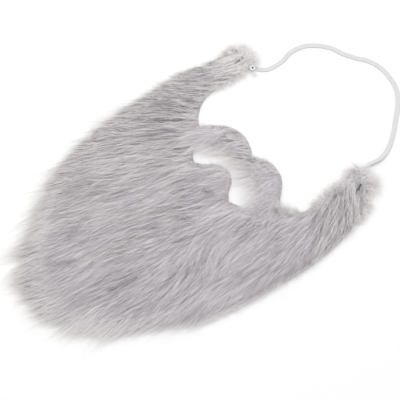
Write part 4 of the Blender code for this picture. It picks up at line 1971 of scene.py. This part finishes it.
@dataclass
class ElasticBand:
    """The flat braided elastic, lying on the floor from the end of one sideburn to the end of the other."""

    width: float = 4.6 * MM
    thickness: float = 1.0 * MM
    clearance: float = 0.1 * MM
    spacing: float = 1.4 * MM
    rib_count: int = 7
    rib_depth: float = 0.09 * MM
    # How far the band is rolled about its own line, in degrees, at distances along it in millimetres.
    rolls: tuple[tuple[float, float], ...] = (
        (0, 0),
        (10, -4),
        (22, -10),
        (40, -8),
        (54, 0),
        (240, 0),
        (262, 26),
        (284, 40),
        (301, 8),
    )
    finish: StitchedFinish = WHITE_ELASTIC
    fold_colour: Colour = (0.88, 0.88, 0.88)

    def section(self) -> Array:
        """The band's cross-section, ribbed on both faces, one row a point: across and up.

        Returns:
            The section's points.
        """
        steps = self.rib_count * 4
        across = np.linspace(-1, 1, steps + 1)
        rib = np.abs(np.sin(np.pi * self.rib_count * (across + 1) / 2))
        rounding = np.sqrt(np.clip(1 - np.abs(across) ** 8, 0.12, 1))
        up = (self.thickness / 2 - self.rib_depth * (1 - rib)) * rounding
        top = np.column_stack((across * self.width / 2, up))
        bottom = np.column_stack((across * self.width / 2, -up))[::-1]
        return np.vstack((top, bottom))

    def centreline(self) -> tuple[Array, Array]:
        """The band's own line and its roll.

        Returns:
            The line's points in metres, and the roll at each point in radians.
        """
        flat = smooth_route(to_row(ELASTIC_ROUTE), self.spacing)
        travelled = np.concatenate(([0], np.cumsum(np.linalg.norm(np.diff(flat, axis=0), axis=1))))
        distances, degrees = zip(*self.rolls)
        roll = np.radians(np.interp(travelled / MM, distances, degrees))
        window = np.hanning(13)
        padded = np.pad(roll, 6, mode="edge")
        roll = np.convolve(padded, window / window.sum(), mode="valid")
        rise = self.thickness / 2 * np.cos(roll) + self.width / 2 * np.sin(roll)
        return np.column_stack((flat, self.clearance + rise)), roll

    def build(self) -> bpy.types.Object:
        """Lofts the band.

        Returns:
            The piece.
        """
        line, roll = self.centreline()
        section = self.section()
        ahead = np.gradient(line[:, :2], axis=0)
        ahead /= np.linalg.norm(ahead, axis=1)[:, None]
        aside = np.column_stack((-ahead[:, 1], ahead[:, 0], np.zeros(len(line))))
        upward = np.array((0.0, 0.0, 1.0))
        travelled = np.concatenate(([0], np.cumsum(np.linalg.norm(np.diff(line, axis=0), axis=1))))
        girth = np.concatenate(([0], np.cumsum(np.linalg.norm(np.diff(section, axis=0), axis=1))))
        form = bmesh.new()
        rings = []
        for place, side, turn in zip(line, aside, roll):
            across = side * math.cos(turn) + upward * math.sin(turn)
            up = upward * math.cos(turn) - side * math.sin(turn)
            rings.append([form.verts.new(place + across * u + up * v) for u, v in section])
        weave = form.loops.layers.uv.new(WEAVE_UV)
        count = len(section)
        for station, (ring, following) in enumerate(zip(rings, rings[1:])):
            for index in range(count):
                after = (index + 1) % count
                face = form.faces.new((ring[index], ring[after], following[after], following[index]))
                start = girth[index]
                end = start + (girth[1] if after == 0 else girth[after] - start)
                places = ((start, station), (end, station), (end, station + 1), (start, station + 1))
                for loop, (around, at) in zip(face.loops, places):
                    loop[weave].uv = (around, travelled[at])
                face.smooth = True
        form.faces.new(rings[0])
        form.faces.new(rings[-1][::-1])
        piece = closed_piece("elastic", form, self.finish.build())
        fold = ElasticFold().build(replace(self.finish, name="elastic_fold", colour=self.fold_colour).build())
        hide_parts("elastic_band")
        log.info("elastic: %.0f mm long", travelled[-1] / MM)
        return piece


@dataclass
class ElasticFold:
    """The small tight loop of the elastic by its left end, with a short dark cylinder in the dark metal finish
    filling its hole.
    """

    x: float = -68.75
    y: float = 152.75
    level: float = 7.0 * MM
    outer_radius: float = 2.6 * MM
    tube: float = 0.8 * MM
    steps: int = 36
    tube_steps: int = 12
    dot_radius: float = 0.95 * MM
    dot_height: float = 1.5 * MM

    def middle(self) -> Vector:
        """The middle of the loop."""
        x, y = to_row(((self.x, self.y),))[0]
        return Vector((x, y, self.level))

    def build_loop(self, material: bpy.types.Material) -> bpy.types.Object:
        """Bends the loop, a ring of round section.

        Args:
            material: The elastic's own material.

        Returns:
            The piece.
        """
        form = bmesh.new()
        weave = form.loops.layers.uv.new(WEAVE_UV)
        radius = self.outer_radius - self.tube
        rings = []
        for step in range(self.steps):
            around = 2 * math.pi * step / self.steps
            out = Vector((math.cos(around), math.sin(around), 0))
            ring = []
            for inner_step in range(self.tube_steps):
                turn = 2 * math.pi * inner_step / self.tube_steps
                place = out * (radius + self.tube * math.cos(turn))
                place.z = self.tube * math.sin(turn)
                ring.append(form.verts.new(self.middle() + place))
            rings.append(ring)
        for ring, following in zip(rings, rings[1:] + rings[:1]):
            for index in range(self.tube_steps):
                after = (index + 1) % self.tube_steps
                face = form.faces.new((ring[index], following[index], following[after], ring[after]))
                face.smooth = True
                for loop in face.loops:
                    offset = loop.vert.co - self.middle()
                    loop[weave].uv = (offset.z, radius * math.atan2(offset.y, offset.x))
        return closed_piece("elastic_fold", form, material)

    def build_dark_dot(self) -> bpy.types.Object:
        """Makes the short dark cylinder in the loop's hole.

        Returns:
            The piece.
        """
        form = bmesh.new()
        bmesh.ops.create_cone(
            form,
            cap_ends=True,
            segments=20,
            radius1=self.dot_radius,
            radius2=self.dot_radius * 0.8,
            depth=self.dot_height,
        )
        for vertex in form.verts:
            vertex.co += self.middle() - Vector((0, 0, self.dot_height / 4))
        return closed_piece("elastic_fold_dark_dot", form, MetalFinish(name="fold_metal").build())

    def build(self, material: bpy.types.Material) -> list[bpy.types.Object]:
        """Makes the loop, in the elastic's own material, and the dark cylinder in its hole."""
        return [self.build_loop(material), self.build_dark_dot()]


@dataclass
class Barbs:
    """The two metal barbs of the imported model, with a better finish."""

    nodes: dict[str, bpy.types.Object]
    names: tuple[str, str] = ("elastic_barb_left", "elastic_barb_right")
    finish: MetalFinish = field(default_factory=MetalFinish)

    def dress(self) -> None:
        """Puts the dark metal on both barbs."""
        material = self.finish.build()
        for name in self.names:
            barb = self.nodes[name]
            for slot in barb.material_slots:
                slot.material = material
            log.info("%s: dark metal", name)


@dataclass(frozen=True)
class Studio:
    """The pale floor, the soft light and the camera at the photograph's angle."""

    azimuth: float = math.radians(50.1)
    elevation: float = math.radians(65.6)
    distance: float = 1.2
    view_angle: float = math.radians(17.43)
    aim: tuple[float, float, float] = (1.02 * MM, 28.51 * MM, 0.0)
    floor_size: float = 8.0
    floor_colour: Colour = (0.92, 0.92, 0.92)
    sky_strength: float = 0.68
    key_power: float = 10.0
    top_power: float = 10.0

    def build_floor(self) -> None:
        """Lays the floor."""
        mesh = bpy.data.meshes.new("floor")
        half = self.floor_size / 2
        corners = [(-half, -half, 0), (half, -half, 0), (half, half, 0), (-half, half, 0)]
        mesh.from_pydata(corners, [], [(0, 1, 2, 3)])
        floor = bpy.data.objects.new("floor", mesh)
        bpy.context.scene.collection.objects.link(floor)
        surface = Surface("pale_floor", 0.9, specular=0.1)
        surface.finish((*self.floor_colour, 1))
        mesh.materials.append(surface.material)

    def add_area_light(self, name: str, place: Vector, size: float, power: float) -> None:
        """Hangs a square soft light that faces the beard.

        Args:
            name: The light's name.
            place: Where it hangs, in metres.
            size: Its width in metres.
            power: Its power in watts.
        """
        light = bpy.data.lights.new(name, "AREA")
        light.size = size
        light.energy = power
        lamp = bpy.data.objects.new(name, light)
        lamp.location = place
        lamp.rotation_euler = (Vector(self.aim) - place).to_track_quat("-Z", "Y").to_euler()
        bpy.context.scene.collection.objects.link(lamp)

    def build_lights(self) -> None:
        """Sets the even sky and the two soft lights."""
        world = bpy.data.worlds.new("studio")
        world.use_nodes = True
        background = world.node_tree.nodes["Background"]
        background.inputs["Color"].default_value = (1, 1, 1, 1)
        background.inputs["Strength"].default_value = self.sky_strength
        bpy.context.scene.world = world
        self.add_area_light("key_light", Vector((-1.1, 0.35, 1.5)), 0.7, self.key_power)
        self.add_area_light("top_light", Vector((0.2, 0.1, 2.0)), 1.2, self.top_power)

    def build_camera(self) -> None:
        """Puts the camera where the photograph was taken from."""
        data = bpy.data.cameras.new("camera")
        data.sensor_fit = "HORIZONTAL"
        data.angle = self.view_angle
        data.clip_start = 0.05
        camera = bpy.data.objects.new("camera", data)
        back = Vector(
            (
                math.sin(self.azimuth) * math.cos(self.elevation),
                -math.cos(self.azimuth) * math.cos(self.elevation),
                math.sin(self.elevation),
            )
        )
        camera.location = Vector(self.aim) + back * self.distance
        camera.rotation_euler = (-back).to_track_quat("-Z", "Y").to_euler()
        bpy.context.scene.collection.objects.link(camera)
        bpy.context.scene.camera = camera

    def build(self) -> None:
        """Sets up the whole studio."""
        bpy.context.scene.view_settings.view_transform = "Standard"
        self.build_camera()
        self.build_floor()
        self.build_lights()


def main() -> None:
    """Builds the studio and every piece, in order."""
    logging.basicConfig(level=logging.INFO, format="%(name)s: %(message)s", force=True)
    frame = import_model()
    Studio().build()
    ElasticBand().build()
    pelt = PeltMap()
    cloth = BackingCloth(pelt).build()
    PackedPile(pelt).build()
    hair_finish = HairFinish().build()
    CombedCoat(pelt, hair_finish).build_regions()
    RimHair(pelt, hair_finish).build("fur_rim")
    MouthHair(pelt, hair_finish).build("fur_over_mouth")
    StrayHair(pelt, hair_finish).build("fur_strays")
    # Lines of painted shade between the tufts and of painted highlight, laid over the coat.
    ShadeAndHighlightLines(pelt, hair_finish, tone=0.17).build("fur_painted_shade_lines")
    ShadeAndHighlightLines(pelt, hair_finish, HIGHLIGHT_LINE_HAIRS, tone=0.74).build("fur_painted_highlight_lines")
    BarbCover(pelt, hair_finish).build("fur_over_barbs")
    # Painted shade along the partings.
    SlitShadeHair(pelt, hair_finish).build("fur_slit_shade")
    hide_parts("fur_panel")
    Barbs(frame["nodes"]).dress()


if __name__ == "__main__":
    main()
